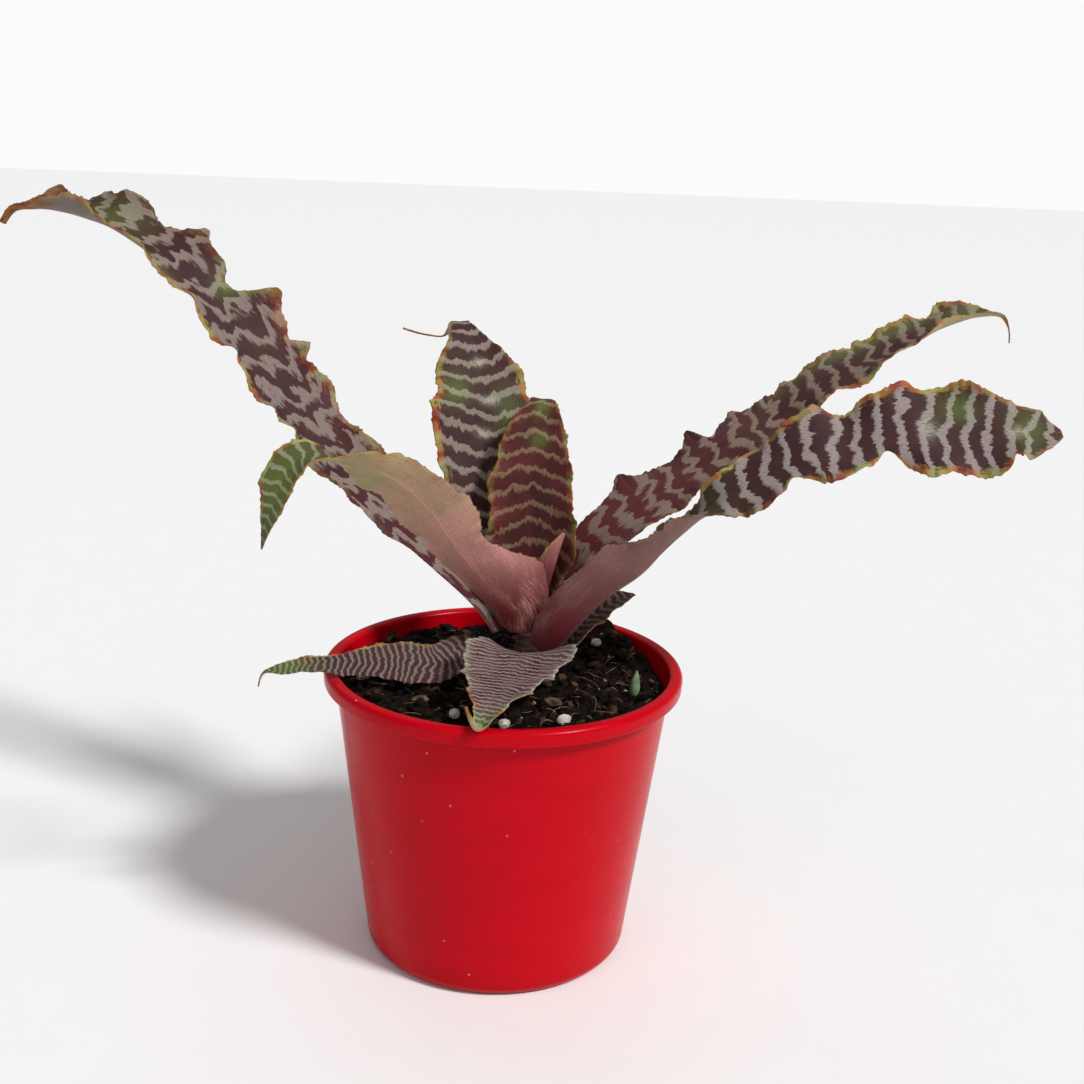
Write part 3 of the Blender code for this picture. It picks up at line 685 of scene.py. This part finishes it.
# A leaf's look: period is the band spacing at the base and at the tip; chevron slants the bands back
# towards the midrib; stagger sets the two halves off against each other; the rest are patches.
LOOKS = {
    "leaf_long_left": {
        "period": (18, 11), "chevron": 0.25, "stagger": 0.5, "dry_from": 0.90,
        "lobes": [
            (0.41, -1, 0.012, -3), (0.455, -1, 0.012, -3), (0.555, -1, 0.013, -5), (0.655, -1, 0.013, -5),
            (0.755, -1, 0.012, -3), (0.27, -1, 0.02, 2), (0.20, -1, 0.02, 2), (0.51, 1, 0.014, 7),
            (0.59, 1, 0.018, 9), (0.72, 1, 0.013, 6), (0.86, 1, 0.012, 3), (0.925, 1, 0.012, 5),
            (0.64, 1, 0.02, -3), (0.78, 1, 0.02, -2),
        ],
        "green": [(0.64, 0.8, 0.02, 0.4, 0.9), (0.83, 0.4, 0.05, 0.6, 0.5), (0.72, -0.9, 0.04, 0.3, 0.6)],
        "rim": [(0.60, -1, 0.25, 0.4, 0.9), (0.80, -1, 0.12, 0.4, 1.0), (0.45, 1, 0.3, 0.4, 0.5)],
        "blush": [(0.05, 0, 0.2, 2, 0.8), (0.4, 0.9, 0.2, 0.4, 0.6)],
    },
    "leaf_back_right": {
        "period": (12, 7), "chevron": 0.2, "stagger": 0.3, "dry_from": 0.93,
        "lobes": [
            (0.25, -1, 0.014, 3), (0.385, -1, 0.012, 4), (0.46, -1, 0.012, 3), (0.56, -1, 0.012, 2),
            (0.70, -1, 0.010, 3), (0.80, -1, 0.010, 4), (0.86, -1, 0.010, 2), (0.41, -1, 0.016, -3),
            (0.66, 1, 0.03, 2), (0.72, 1, 0.012, 2),
        ],
        "green": [(0.72, -0.9, 0.15, 0.4, 0.7), (0.9, 0, 0.06, 1, 0.7)],
        "rim": [(0.7, 1, 0.3, 0.4, 0.8), (0.8, -1, 0.2, 0.4, 0.8)],
        "blush": [(0.08, 0, 0.3, 2, 0.95)],
    },
    "leaf_front_right": {
        "period": (10, 6.3), "chevron": 0.3, "stagger": 0.2, "dry_from": 0.985,
        "lobes": [
            (0.72, 1, 0.013, -5), (0.555, 1, 0.012, -3), (0.62, -1, 0.012, 3), (0.765, -1, 0.014, 3),
            (0.67, -1, 0.014, -2), (0.925, 1, 0.008, -3), (0.59, 1, 0.010, 2), (0.96, 1, 0.008, 3),
        ],
        "green": [
            (0.31, -0.95, 0.06, 0.28, 1.0), (0.40, -0.2, 0.05, 1, 0.3),
            (0.84, -0.5, 0.03, 0.3, 0.8), (0.95, 0, 0.03, 1, 0.6),
        ],
        "cream": [(0.79, 0, 0.013, 0.22, 0.75), (0.93, 0.1, 0.012, 0.2, 0.7)],
        "rim": [(0.45, -1, 0.1, 0.5, 1.0), (0.75, 1, 0.25, 0.4, 1.0), (0.75, -1, 0.25, 0.3, 0.9)],
        "blush": [(0.03, 0, 0.15, 2, 1.0)],
    },
    "leaf_front_left": {
        "period": (5.5, 3.6), "chevron": 0.2, "stagger": 0.2, "dry_from": 0.965,
        "green": [(0.62, 0.5, 0.05, 0.6, 0.7), (0.86, 0, 0.14, 2, 1.0)],
        "rim": [(0.75, 1, 0.2, 0.4, 1.0), (0.75, -1, 0.2, 0.4, 0.8)],
        "blush": [(0.03, 0, 0.17, 2, 1.0)],
    },
    "leaf_back_upright": {
        "period": (8.2, 5.6), "chevron": 0.35, "stagger": 0.1, "dry_from": 0.84,
        "green": [(0.55, -0.6, 0.05, 0.3, 0.7), (0.5, 0.5, 0.05, 0.3, 0.6)],
        "cream": [(0.62, 0, 0.012, 0.16, 0.7), (0.52, 0.1, 0.012, 0.16, 0.7), (0.44, 0, 0.012, 0.14, 0.6)],
        "rim": [(0.5, -1, 0.2, 0.3, 1.0), (0.55, 1, 0.06, 0.3, 0.9)],
    },
    "leaf_centre": {
        "period": (7, 6), "chevron": -0.35, "stagger": 0.1, "dry_from": 0.99,
        "green": [(0.86, 0.1, 0.05, 0.4, 1.0), (0.72, 0.1, 0.04, 0.25, 0.9)],
        "rim": [(0.6, -1, 0.5, 0.15, 0.5), (0.6, 1, 0.5, 0.15, 0.5)],
        "blush": [(0.5, -1, 0.6, 0.45, 0.9), (0.5, 1, 0.6, 0.45, 0.9)],
    },
    "leaf_young": {
        "period": (5, 4), "chevron": 0.2, "stagger": 0.2, "dry_from": 0.99,
        "rim": [(0.6, 1, 0.5, 0.4, 0.9), (0.6, -1, 0.5, 0.4, 0.9)],
        "blush": [(0.3, 0, 0.6, 2, 0.9)],
    },
    "leaf_low_front": {
        "period": (2.6, 2.2), "chevron": 0.3, "stagger": 0.2, "dry_from": 0.93, "teeth": 1.0,
        "green": [(0.84, 0, 0.08, 2, 0.9)],
        "cream": [(0.35, -1, 0.4, 0.09, 0.7), (0.35, 1, 0.4, 0.09, 0.7)],
        "rim": [(0.8, -1, 0.15, 0.2, 0.8), (0.75, 1, 0.2, 0.2, 0.8)],
    },
    "leaf_low_left": {
        "period": (2.7, 2.1), "chevron": 0.3, "stagger": 0.2, "dry_from": 0.96,
        "green": [(0.86, 0, 0.12, 2, 0.8)],
        "rim": [(0.7, 1, 0.4, 0.4, 0.9)],
    },
    "leaf_low_right": {
        "period": (3.2, 3), "chevron": 0.3, "stagger": 0.2, "dry_from": 0.97,
        "rim": [(0.5, 1, 0.5, 0.3, 0.6)],
    },
}
# each leaf: heading; wave count, height, left and right phase, flare; stations; dark and pale colour
# of the upper side, colour of the underside at the base and tip; what differs in its finish
LEAF_LIST = [
    ("leaf_long_left", 155, (8.2, 2.4, 0.0, 0.45, 0.10), LONG_LEFT, (PLUM, TAUPE, PINK, ASH),
     {"soft": 0.8, "wander": 2.2, "jag": 0.5, "pale_from": 0.5}),
    ("leaf_back_right", 27, (8.0, 2.2, 0.1, 0.55, 0.10), BACK_RIGHT, (PLUM, CLAY, PINK, TAN),
     {"soft": 0.6, "wander": 1.8, "pale_from": 0.56}),
    ("leaf_front_right", -8, (7.0, 2.4, 0.1, 0.6, 0.10), FRONT_RIGHT, (PLUM, SILVER, MAUVE, MAUVE),
     {"jag": 0.45, "pale_from": 0.56}),
    ("leaf_front_left", 215, (5.0, 1.2, 0.3, 0.7, 0.06), FRONT_LEFT, (UMBER, TAUPE, PINK, TAN),
     {"pale_from": 0.62}),
    ("leaf_back_upright", 100, (6.0, 1.2, 0.2, 0.5, 0.05), BACK_UPRIGHT, (PLUM, FAWN, PINK, TAN),
     {"pale_from": 0.58, "wander": 1.1}),
    ("leaf_centre", 75, (5.0, 1.0, 0.4, 0.1, 0.04), CENTRE, (MAROON, COPPER, PINK, TAN),
     {"pale_from": 0.66, "wander": 1.0, "jag": 0.5}),
    ("leaf_young", -20, (2.0, 0.5, 0.4, 0.1, 0.0), YOUNG, (MAROON, TAUPE, MAROON, PINK), {}),
    ("leaf_low_front", 258, (6.0, 0.9, 0.3, 0.1, 0.05), LOW_FRONT, (DUSK, LILAC, MAUVE, TAN),
     {"jag": 0.8, "wander": 1.6, "pale_from": 0.5}),
    ("leaf_low_left", 192, (4.0, 0.8, 0.3, 0.1, 0.05), LOW_LEFT, (PLUM, ASH, MAUVE, TAN),
     {"jag": 0.6, "wander": 1.6, "pale_from": 0.55}),
    ("leaf_low_right", 10, (3.0, 0.8, 0.3, 0.1, 0.05), LOW_RIGHT, (PLUM, ASH, MAUVE, TAN),
     {"wander": 1.4}),
]
for number, (name, heading, waves, stations, colours, more) in enumerate(LEAF_LIST):
    skin = leaf_finish(name + "_skin", *colours, **more)
    make_leaf(name, heading, waves, stations, skin, LOOKS[name], 10 * number)


# ---------------------------------------------------------------- pot

POT_HEIGHT = 108.0
POT_FOOT_RADIUS = 48.0
POT_NECK_RADIUS = 60.6
POT_WALL = 1.4
POT_FLOOR = 2.4
FOOT_ROUNDING = 5.0
FLOOR_FILLET = (2.5, 2.0)  # across and up
LIP_RADIUS = 65.0
LIP_DEPTH = 5.8
LIP_SKIRT = 1.6
LIP_ROOF = 1.8
LIP_DRAFT = 0.2
LIP_OUTER_ROUNDING = 2.2
LIP_INNER_ROUNDING = 1.9
LIP_EDGE_ROUNDING = 0.55
LIP_STEP = 0.8  # how far the lip's inside stands out from the wall's
POT_SIDES = 256
DRAIN_HOLES = 6
DRAIN_RADIUS = 4.0
DRAIN_RING_RADIUS = 33.0
DRAIN_SIDES = 46
HUB_RADIUS = 20.0  # of the flat round the middle, inside the drain holes


def wall_radius(z):
    """Outside radius of the pot's wall at a height, a straight taper from foot to neck."""
    return POT_FOOT_RADIUS + (POT_NECK_RADIUS - POT_FOOT_RADIUS) * z / (POT_HEIGHT - LIP_DEPTH)


def inside_radius(z):
    return wall_radius(z) - POT_WALL


def pot_profile():
    """The pot's section: floor, inner wall, rolled lip with its hanging skirt, outer wall, foot."""
    top, low, roof = POT_HEIGHT, POT_HEIGHT - LIP_DEPTH, POT_HEIGHT - LIP_ROOF
    inner_top = POT_NECK_RADIUS - POT_WALL + LIP_STEP
    skirt = LIP_RADIUS - LIP_SKIRT
    outer, inner, edge = LIP_OUTER_ROUNDING, LIP_INNER_ROUNDING, LIP_EDGE_ROUNDING
    foot_x = wall_radius(FOOT_ROUNDING) - FOOT_ROUNDING
    fillet_x, fillet_z = FLOOR_FILLET
    profile = [(0.0, POT_FLOOR), (HUB_RADIUS, POT_FLOOR), (inside_radius(POT_FLOOR) - fillet_x, POT_FLOOR)]
    profile += [(inside_radius(z), z) for z in (POT_FLOOR + fillet_z, 30.0, 60.0, 90.0, low)]
    profile += [(inner_top, top - inner - 0.5)]
    profile += arc(inner_top + inner, top - inner, inner, 172, 90, 7)
    profile += arc(LIP_RADIUS - outer, top - outer, outer, 90, 0, 9)
    profile += [(LIP_RADIUS - LIP_DRAFT, low + 1.4)]
    profile += arc(LIP_RADIUS - LIP_DRAFT - edge, low + edge, edge, 0, -90, 4)
    profile += [(skirt + 0.15, low), (skirt, low + 0.2), (skirt, roof - 0.8)]
    profile += [(skirt - 0.7, roof), (wall_radius(roof) + 0.9, roof)]
    profile += [(wall_radius(roof - 1.0) + 0.1, roof - 1.0), (wall_radius(low), low)]
    profile += [(wall_radius(z), z) for z in (85.0, 65.0, 45.0, 25.0)]
    profile += arc(foot_x, FOOT_ROUNDING, FOOT_ROUNDING, 0, -90, 10)
    return profile + [(HUB_RADIUS, 0.0), (0.0, 0.0)]


def drain_cutter(number):
    """A round rod through the floor where a drain hole goes."""
    turn = TURN * (number + 0.5) / DRAIN_HOLES
    place = (DRAIN_RING_RADIUS * math.cos(turn), DRAIN_RING_RADIUS * math.sin(turn))
    top, low = POT_FLOOR + 1.0, -1.0
    profile = [(0.0, top), (DRAIN_RADIUS, top), (DRAIN_RADIUS, low), (0.0, low)]
    points, faces = lathe(profile, DRAIN_SIDES, place)
    mesh = bpy.data.meshes.new("drain_cutter")
    mesh.from_pydata((points * MM).tolist(), [], faces)
    cutter = bpy.data.objects.new("drain_cutter", mesh)
    bpy.context.scene.collection.objects.link(cutter)
    return cutter


def make_pot():
    """The pot, turned in one piece, with its drain holes cut through the floor."""
    points, faces = lathe(pot_profile(), POT_SIDES)
    pot = make_piece("pot_shell", points, faces, pot_finish(), "pot_plastic", "pot", sharp=40)
    for number in range(DRAIN_HOLES):
        cutter = drain_cutter(number)
        hole = pot.modifiers.new("drain", "BOOLEAN")
        hole.object = cutter
        bpy.context.view_layer.update()
        cut = bpy.data.meshes.new_from_object(pot.evaluated_get(bpy.context.evaluated_depsgraph_get()))
        pot.modifiers.clear()
        pot.data = cut
        bpy.data.objects.remove(cutter)
    return pot


make_pot()


# ---------------------------------------------------------------- growing mix

SOIL_LEVEL = 102.5
SOIL_DIP = 3.0  # how far down the pot's wall the top ends
SOIL_SIDES, SOIL_RINGS = 360, 132
CROWN = (8.0, 5.0)
MOUNDS = [(CROWN, 3.2, 22.0), ((33.0, 43.0), 10.0, 18.0), ((10.0, -45.0), 1.5, 26.0)]
CLODS = 900
CLOD_SIZES = (0.9, 3.4)
CLOD_SINK = 0.9
CLOD_POWER = 2.6  # 2 would make the domes round; more makes them boxy
GAP = 0.3  # between the mix and the pot


def soil_height(x, y):
    """Height of the mix before its clods: level, with slow lumps and the mounds, each of which has
    its middle, rise and reach."""
    lumps = 0.5 * np.sin(x / 4.1 + 0.6) * np.sin(y / 3.7 + 1.2) + 0.35 * np.sin(x / 2.3 - y / 2.9)
    height = SOIL_LEVEL + lumps
    for middle, rise, reach in MOUNDS:
        height = height + rise * np.exp(-((x - middle[0]) ** 2 + (y - middle[1]) ** 2) / reach**2)
    return height


def mix_surface(x, y):
    """Top of the mix: soil_height plus its clods, the highest of many half-sunk uneven domes."""
    lot = np.random.default_rng(4)
    turn, reach = lot.uniform(0, TURN, CLODS), 59.0 * np.sqrt(lot.uniform(0, 1, CLODS))
    cx, cy = reach * np.cos(turn), reach * np.sin(turn)
    size = lot.uniform(*CLOD_SIZES, CLODS)
    squash, tilt = lot.uniform(0.45, 1.0, CLODS), lot.uniform(0, math.pi, CLODS)
    tall = size * lot.uniform(0.3, 0.8, CLODS)
    height = np.full(x.shape, -CLOD_SINK)
    for k in range(CLODS):
        dx, dy = x - cx[k], y - cy[k]
        along = dx * np.cos(tilt[k]) + dy * np.sin(tilt[k])
        off = (dy * np.cos(tilt[k]) - dx * np.sin(tilt[k])) / squash[k]
        dome = 1 - (np.abs(along) ** CLOD_POWER + np.abs(off) ** CLOD_POWER) / size[k] ** CLOD_POWER
        height = np.maximum(height, tall[k] * np.sqrt(np.clip(dome, 0, 1)) - CLOD_SINK)
    return soil_height(x, y) + height


def make_soil():
    """A plug that fills the pot: a polar grid over the lumpy top, then down the wall and across."""
    turn = np.linspace(0, TURN, SOIL_SIDES, endpoint=False)[None, :]
    edge = inside_radius(SOIL_LEVEL - SOIL_DIP) - GAP
    radius = edge * (np.arange(1, SOIL_RINGS + 1) / SOIL_RINGS)[:, None] ** 0.75
    x, y = radius * np.cos(turn), radius * np.sin(turn)
    fade = np.clip((radius / edge - 0.95) / 0.05, 0, 1)
    top = np.stack([x, y, mix_surface(x, y) - 1.6 * fade**2], -1)
    low = np.array([50.0, POT_FLOOR + 2.3, POT_FLOOR + GAP])[:, None]
    wall = inside_radius(low) - GAP - np.array([0.0, 0.0, 3.2])[:, None]
    rest = np.stack([wall * np.cos(turn), wall * np.sin(turn), low + 0 * turn], -1)
    rings = np.concatenate([top, rest])
    peak = float(mix_surface(np.zeros(1), np.zeros(1))[0])
    points = np.concatenate([rings.reshape(-1, 3), [[0, 0, peak], [0, 0, POT_FLOOR + GAP]]])
    faces = closed_faces(len(rings), SOIL_SIDES)
    tone = {"tone": np.full(len(points), 0.25)}
    finish = mix_finish("potting_mix")
    return make_piece("mix_plug", points, faces, finish, "potting_mix", "soil", numbers=tone, sharp=60)


def scatter(count, lot, reach, clear):
    """Random spots on the mix, inside a radius and clear of the stem, with the height of each."""
    turn, radius = lot.uniform(0, TURN, 3 * count), reach * np.sqrt(lot.uniform(0, 1, 3 * count))
    x, y = radius * np.cos(turn), radius * np.sin(turn)
    free = np.hypot(x - CROWN[0], y - CROWN[1]) > clear
    x, y = x[free][:count], y[free][:count]
    return x, y, mix_surface(x, y)


# a regular lump with twelve corners and twenty sides
GOLD = (1 + math.sqrt(5)) / 2
LUMP_CORNERS = np.array(
    [(-1, GOLD, 0), (1, GOLD, 0), (-1, -GOLD, 0), (1, -GOLD, 0), (0, -1, GOLD), (0, 1, GOLD),
     (0, -1, -GOLD), (0, 1, -GOLD), (GOLD, 0, -1), (GOLD, 0, 1), (-GOLD, 0, -1), (-GOLD, 0, 1)]
) / math.hypot(1, GOLD)
LUMP_SIDES = np.array(
    [(0, 11, 5), (0, 5, 1), (0, 1, 7), (0, 7, 10), (0, 10, 11), (1, 5, 9), (5, 11, 4), (11, 10, 2),
     (10, 7, 6), (7, 1, 8), (3, 9, 4), (3, 4, 2), (3, 2, 6), (3, 6, 8), (3, 8, 9), (4, 9, 5),
     (2, 4, 11), (6, 2, 10), (8, 6, 7), (9, 8, 1)]
)


def turned(points, angles):
    """Each lump's points turned about x, then y, then z by its own three angles."""
    for axis, (a, b) in enumerate([(1, 2), (2, 0), (0, 1)]):
        c, d = np.cos(angles[:, axis])[:, None], np.sin(angles[:, axis])[:, None]
        first, second = points[..., a].copy(), points[..., b].copy()
        points[..., a] = c * first - d * second
        points[..., b] = d * first + c * second
    return points


def make_crumbs(name, count, small, large, flat, tones, finish, slot, seed):
    """Loose crumbs as one mesh: twenty-sided lumps, each stretched, dented and turned at random."""
    lot = np.random.default_rng(seed)
    x, y, z = scatter(count, lot, 56.5, 8.0)
    size = small + (large - small) * lot.uniform(0, 1, count) ** 2.2
    shape = np.stack([np.ones(count), lot.uniform(0.45, 0.9, count), lot.uniform(*flat, count)], -1)
    lump = LUMP_CORNERS * (shape * size[:, None])[:, None, :] * lot.uniform(0.72, 1.15, (count, 12, 1))
    lump = turned(lump, lot.uniform(0, TURN, (count, 3)) * np.array([0.12, 0.12, 1.0]))
    lump += np.stack([x, y, z + size * lot.uniform(0.0, 0.5, count)], -1)[:, None, :]
    faces = (LUMP_SIDES + 12 * np.arange(count)[:, None, None]).reshape(-1, 3).tolist()
    tone = {"tone": np.repeat(lot.uniform(*tones, count), 12)}
    return make_piece(name, lump.reshape(-1, 3), faces, finish, slot, numbers=tone, sharp=20)


def make_fibres(name, count, finish, seed):
    """Root and bark fibres as one mesh: thin three-sided tubes carried along shallow random arches."""
    lot = np.random.default_rng(seed)
    steps = 9
    x, y, z = scatter(count, lot, 50.0, 9.0)
    t = np.linspace(-0.5, 0.5, steps)[None, :]
    size = lot.uniform(4, 15, count)[:, None]
    heading = lot.uniform(0, TURN, count)[:, None] + lot.uniform(-1.6, 1.6, count)[:, None] * t
    px = x[:, None] + size * t * np.cos(heading)
    py = y[:, None] + size * t * np.sin(heading)
    bow = lot.uniform(0.02, 0.14, count)[:, None] * size * (1 - 4 * t**2)
    lean = lot.uniform(-0.12, 0.3, count)[:, None] * size * t
    path = np.stack([px, py, z[:, None] + 0.5 + bow + lean], -1)
    ahead = unit(np.gradient(path, axis=1))
    side = unit(np.cross(ahead, np.array([0.0, 0.0, 1.0])))
    down = np.cross(ahead, side)
    thick = (lot.uniform(0.12, 0.3, count)[:, None] * (1.15 - np.abs(2 * t)))[..., None]
    corners = (0.0, TURN / 3, 2 * TURN / 3)
    ring = [path + thick * (math.cos(a) * side + math.sin(a) * down) for a in corners]
    points = np.stack(ring, 2).reshape(-1, 3)
    start = 3 * steps * np.arange(count)
    end = start + 3 * (steps - 1)
    faces = (np.array(ring_faces(steps, 3)) + start[:, None, None]).reshape(-1, 4).tolist()
    faces += np.stack([start + 2, start + 1, start], -1).tolist()
    faces += np.stack([end, end + 1, end + 2], -1).tolist()
    tone = {"tone": np.repeat(lot.uniform(0, 1, count), 3 * steps)}
    return make_piece(name, points, faces, finish, "bark_chip", numbers=tone)


make_soil()
crumb_skin = mix_finish("bark_crumbs")
make_crumbs("mix_crumbs", 900, 0.6, 3.0, (0.35, 0.8), (0.0, 0.85), crumb_skin, "potting_mix", 11)
make_crumbs("mix_chips", 110, 1.8, 4.2, (0.18, 0.4), (0.1, 1.25), crumb_skin, "potting_mix", 12)
grit = grain_finish("pale_grit", rgb(150, 144, 130), rgb(206, 202, 190), 900.0, 0.3, 0.85)
make_crumbs("mix_grit", 46, 0.35, 1.3, (0.6, 0.9), (0.0, 1.0), grit, "pale_grain", 13)
straw = grain_finish("dry_fibre", rgb(92, 70, 50), rgb(150, 126, 98), 300.0, 0.2, 0.7)
make_fibres("mix_fibres", 90, straw, 14)


# ---------------------------------------------------------------- grains, chips, sprout and stem


NUGGET_SINK = 0.5


def make_nugget(node, size, turn, dents, finish, slot, seed):
    """A lump that stands for one grain: an ellipsoid whose radius is changed by sines in random
    directions, then cut flat here and there."""
    across, down = 40, 22
    a = np.linspace(0, TURN, across, endpoint=False)[None, :]
    b = np.linspace(0, math.pi, down + 2)[1:-1, None]
    way = np.stack([np.sin(b) * np.cos(a), np.sin(b) * np.sin(a), np.cos(b) + 0 * a], -1)
    way = np.concatenate([way.reshape(-1, 3), [[0, 0, 1], [0, 0, -1]]])
    lot = np.random.default_rng(seed)
    radius = np.ones(len(way))
    for wave in range(14):
        tilt = unit(lot.normal(size=3)) * lot.uniform(2, 4 + wave)
        radius += dents / (1 + 0.35 * wave) * np.sin(way @ tilt + lot.uniform(0, TURN))
    for _ in range(5):
        flat = unit(lot.normal(size=3))
        radius = np.minimum(radius, 0.86 / np.maximum(way @ flat, 0.3))
    c, d = math.cos(math.radians(turn)), math.sin(math.radians(turn))
    middle = (lowest(node) + highest(node)) / 2 - [0, 0, NUGGET_SINK]
    points = way * radius[:, None] * np.array(size) / 2
    points = points @ np.array([[c, d, 0], [-d, c, 0], [0, 0, 1]]) + middle
    return make_piece(node + "_lump", points, closed_faces(down, across), finish, slot, node, sharp=50)


perlite = grain_finish("perlite", rgb(170, 168, 156), rgb(224, 222, 212), 700.0, 0.35, 0.9)
bark = grain_finish("bark", rgb(58, 38, 26), rgb(120, 88, 60), 420.0, 0.5, 0.85)
GRAINS = [
    ("perlite_left", (4.5, 4.0, 3.5), 20, 0.05, perlite, "pale_grain"),
    ("perlite_near_left", (4.5, 3.8, 3.8), 70, 0.05, perlite, "pale_grain"),
    ("perlite_near_middle", (4.0, 4.0, 3.4), 10, 0.05, perlite, "pale_grain"),
    ("perlite_near_right", (5.0, 4.2, 3.6), 40, 0.05, perlite, "pale_grain"),
    ("perlite_far_right", (4.2, 3.6, 3.2), 15, 0.05, perlite, "pale_grain"),
    ("bark_near_left", (7.0, 4.5, 3.2), 35, 0.07, bark, "bark_chip"),
    ("bark_near_right", (6.5, 4.5, 3.4), -25, 0.07, bark, "bark_chip"),
]
for seed, (node, size, turn, dents, finish, slot) in enumerate(GRAINS):
    make_nugget(node, size, turn, dents, finish, slot, 30 + seed)


SPROUT_SINK = 1.0


def make_sprout():
    """A young shoot: an egg drawn out to a blunt tip that leans a little, with three faint ridges."""
    low, high = lowest("sprout"), highest("sprout")
    middle, size = (low + high) / 2, high - low
    around, rows = 48, 40
    a = np.linspace(0, TURN, around, endpoint=False)[None, :]
    h = np.linspace(0, 1, rows + 2)[1:-1, None]
    radius = np.sin(math.pi * h**0.8) ** 0.62 * (1 - 0.35 * h) * (1 + 0.04 * np.cos(3 * a))
    lean = 0.12 * size[0]
    foot = low[2] - SPROUT_SINK
    x = middle[0] + radius * size[0] / 2 * np.cos(a) + lean * h**2
    y = middle[1] + radius * size[1] / 2 * np.sin(a)
    z = foot + (high[2] - foot) * h + 0 * a
    ends = [[middle[0], middle[1], foot], [middle[0] + lean, middle[1], high[2]]]
    points = np.concatenate([np.stack([x, y, z], -1).reshape(-1, 3), ends])
    faces = closed_faces(rows, around, upward=True)
    return make_piece("sprout_bud", points, faces, shoot_finish(low[2]), "green_shoot", "sprout")


# radius and height of the stem, from its tip among the leaves down into the mix
STEM_PROFILE = np.array(
    [(1.6, 126.5), (2.6, 124.0), (3.4, 119.0), (4.6, 113.0), (6.2, 108.0), (6.5, 102.0), (5.6, 96.0)]
)
STEM_TOP, STEM_FOOT = 127.0, 92.0
SCAR_SPACING = 2.4


def make_stem():
    """The short stem: a turned profile whose radius steps at each old leaf scar."""
    height = np.linspace(STEM_TOP - 0.4, STEM_FOOT + 0.4, 120)
    radius = np.interp(-height, -STEM_PROFILE[:, 1], STEM_PROFILE[:, 0])
    ridge = np.abs(np.modf(height / SCAR_SPACING)[0] - 0.5)
    radius = radius - 0.35 + 0.5 * ridge * np.clip(radius / 5, 0, 1)
    profile = [(0.0, STEM_TOP), *np.stack([radius, height], -1).tolist(), (0.0, STEM_FOOT)]
    points, faces = lathe(profile, 72, CROWN)
    return make_piece("crown_stem", points, faces, husk_finish(), "stem_skin", "stem")


make_sprout()
make_stem()


# ---------------------------------------------------------------- stage, light and camera


def soft_sun(name, turn, rise, spread, strength):
    """Even light from far away: turn is its compass side and rise its height, in degrees."""
    lamp = bpy.data.lights.new(name, "SUN")
    lamp.energy = strength
    lamp.angle = math.radians(spread)
    thing = bpy.data.objects.new(name, lamp)
    thing.rotation_euler = (math.radians(90 - rise), 0.0, math.radians(turn))
    bpy.context.scene.collection.objects.link(thing)


soft_sun("key_light", 54, 46, 12, 2.65)
soft_sun("fill_light", -15, 40, 60, 0.35)
soft_sun("back_light", 190, 55, 60, 0.3)


WORLD_LIGHT = 0.22
WORLD_SEEN = 0.97


def white_room():
    """A world that lights softly, and looks white itself."""
    world = bpy.data.worlds.new("studio")
    world.use_nodes = True
    tree = world.node_tree
    seen = tree.nodes.new("ShaderNodeLightPath").outputs["Is Camera Ray"]
    strength = tree.nodes.new("ShaderNodeMapRange")
    strength.inputs["To Min"].default_value = WORLD_LIGHT
    strength.inputs["To Max"].default_value = WORLD_SEEN
    tree.links.new(seen, strength.inputs["Value"])
    tree.nodes["Background"].inputs["Color"].default_value = (1, 1, 1, 1)
    tree.links.new(strength.outputs["Result"], tree.nodes["Background"].inputs["Strength"])
    bpy.context.scene.world = world


white_room()

FLOOR = 6.0  # metres from the middle to each side
corners = [(-FLOOR, -FLOOR, 0), (FLOOR, -FLOOR, 0), (FLOOR, FLOOR, 0), (-FLOOR, FLOOR, 0)]
floor_mesh = bpy.data.meshes.new("floor")
floor_mesh.from_pydata(corners, [], [(0, 1, 2, 3)])
floor_mesh.materials.append(plain_stage_finish())
floor = bpy.data.objects.new("floor", floor_mesh)
bpy.context.scene.collection.objects.link(floor)

CAMERA_PLACE = (0.0121, -0.5127, 0.2996)  # metres
CAMERA_PITCH = math.radians(15.856)  # below level
CAMERA_ROLL = math.radians(2.30)
lens = bpy.data.cameras.new("camera")
lens.sensor_width = 36.0
lens.lens = 49.815
lens.clip_start = 0.01
camera = bpy.data.objects.new("camera", lens)
level = Matrix.Rotation(math.pi / 2 - CAMERA_PITCH, 4, "X")
camera.matrix_world = Matrix.Translation(CAMERA_PLACE) @ level @ Matrix.Rotation(CAMERA_ROLL, 4, "Z")
bpy.context.scene.collection.objects.link(camera)
bpy.context.scene.camera = camera
bpy.context.scene.view_settings.view_transform = "Standard"
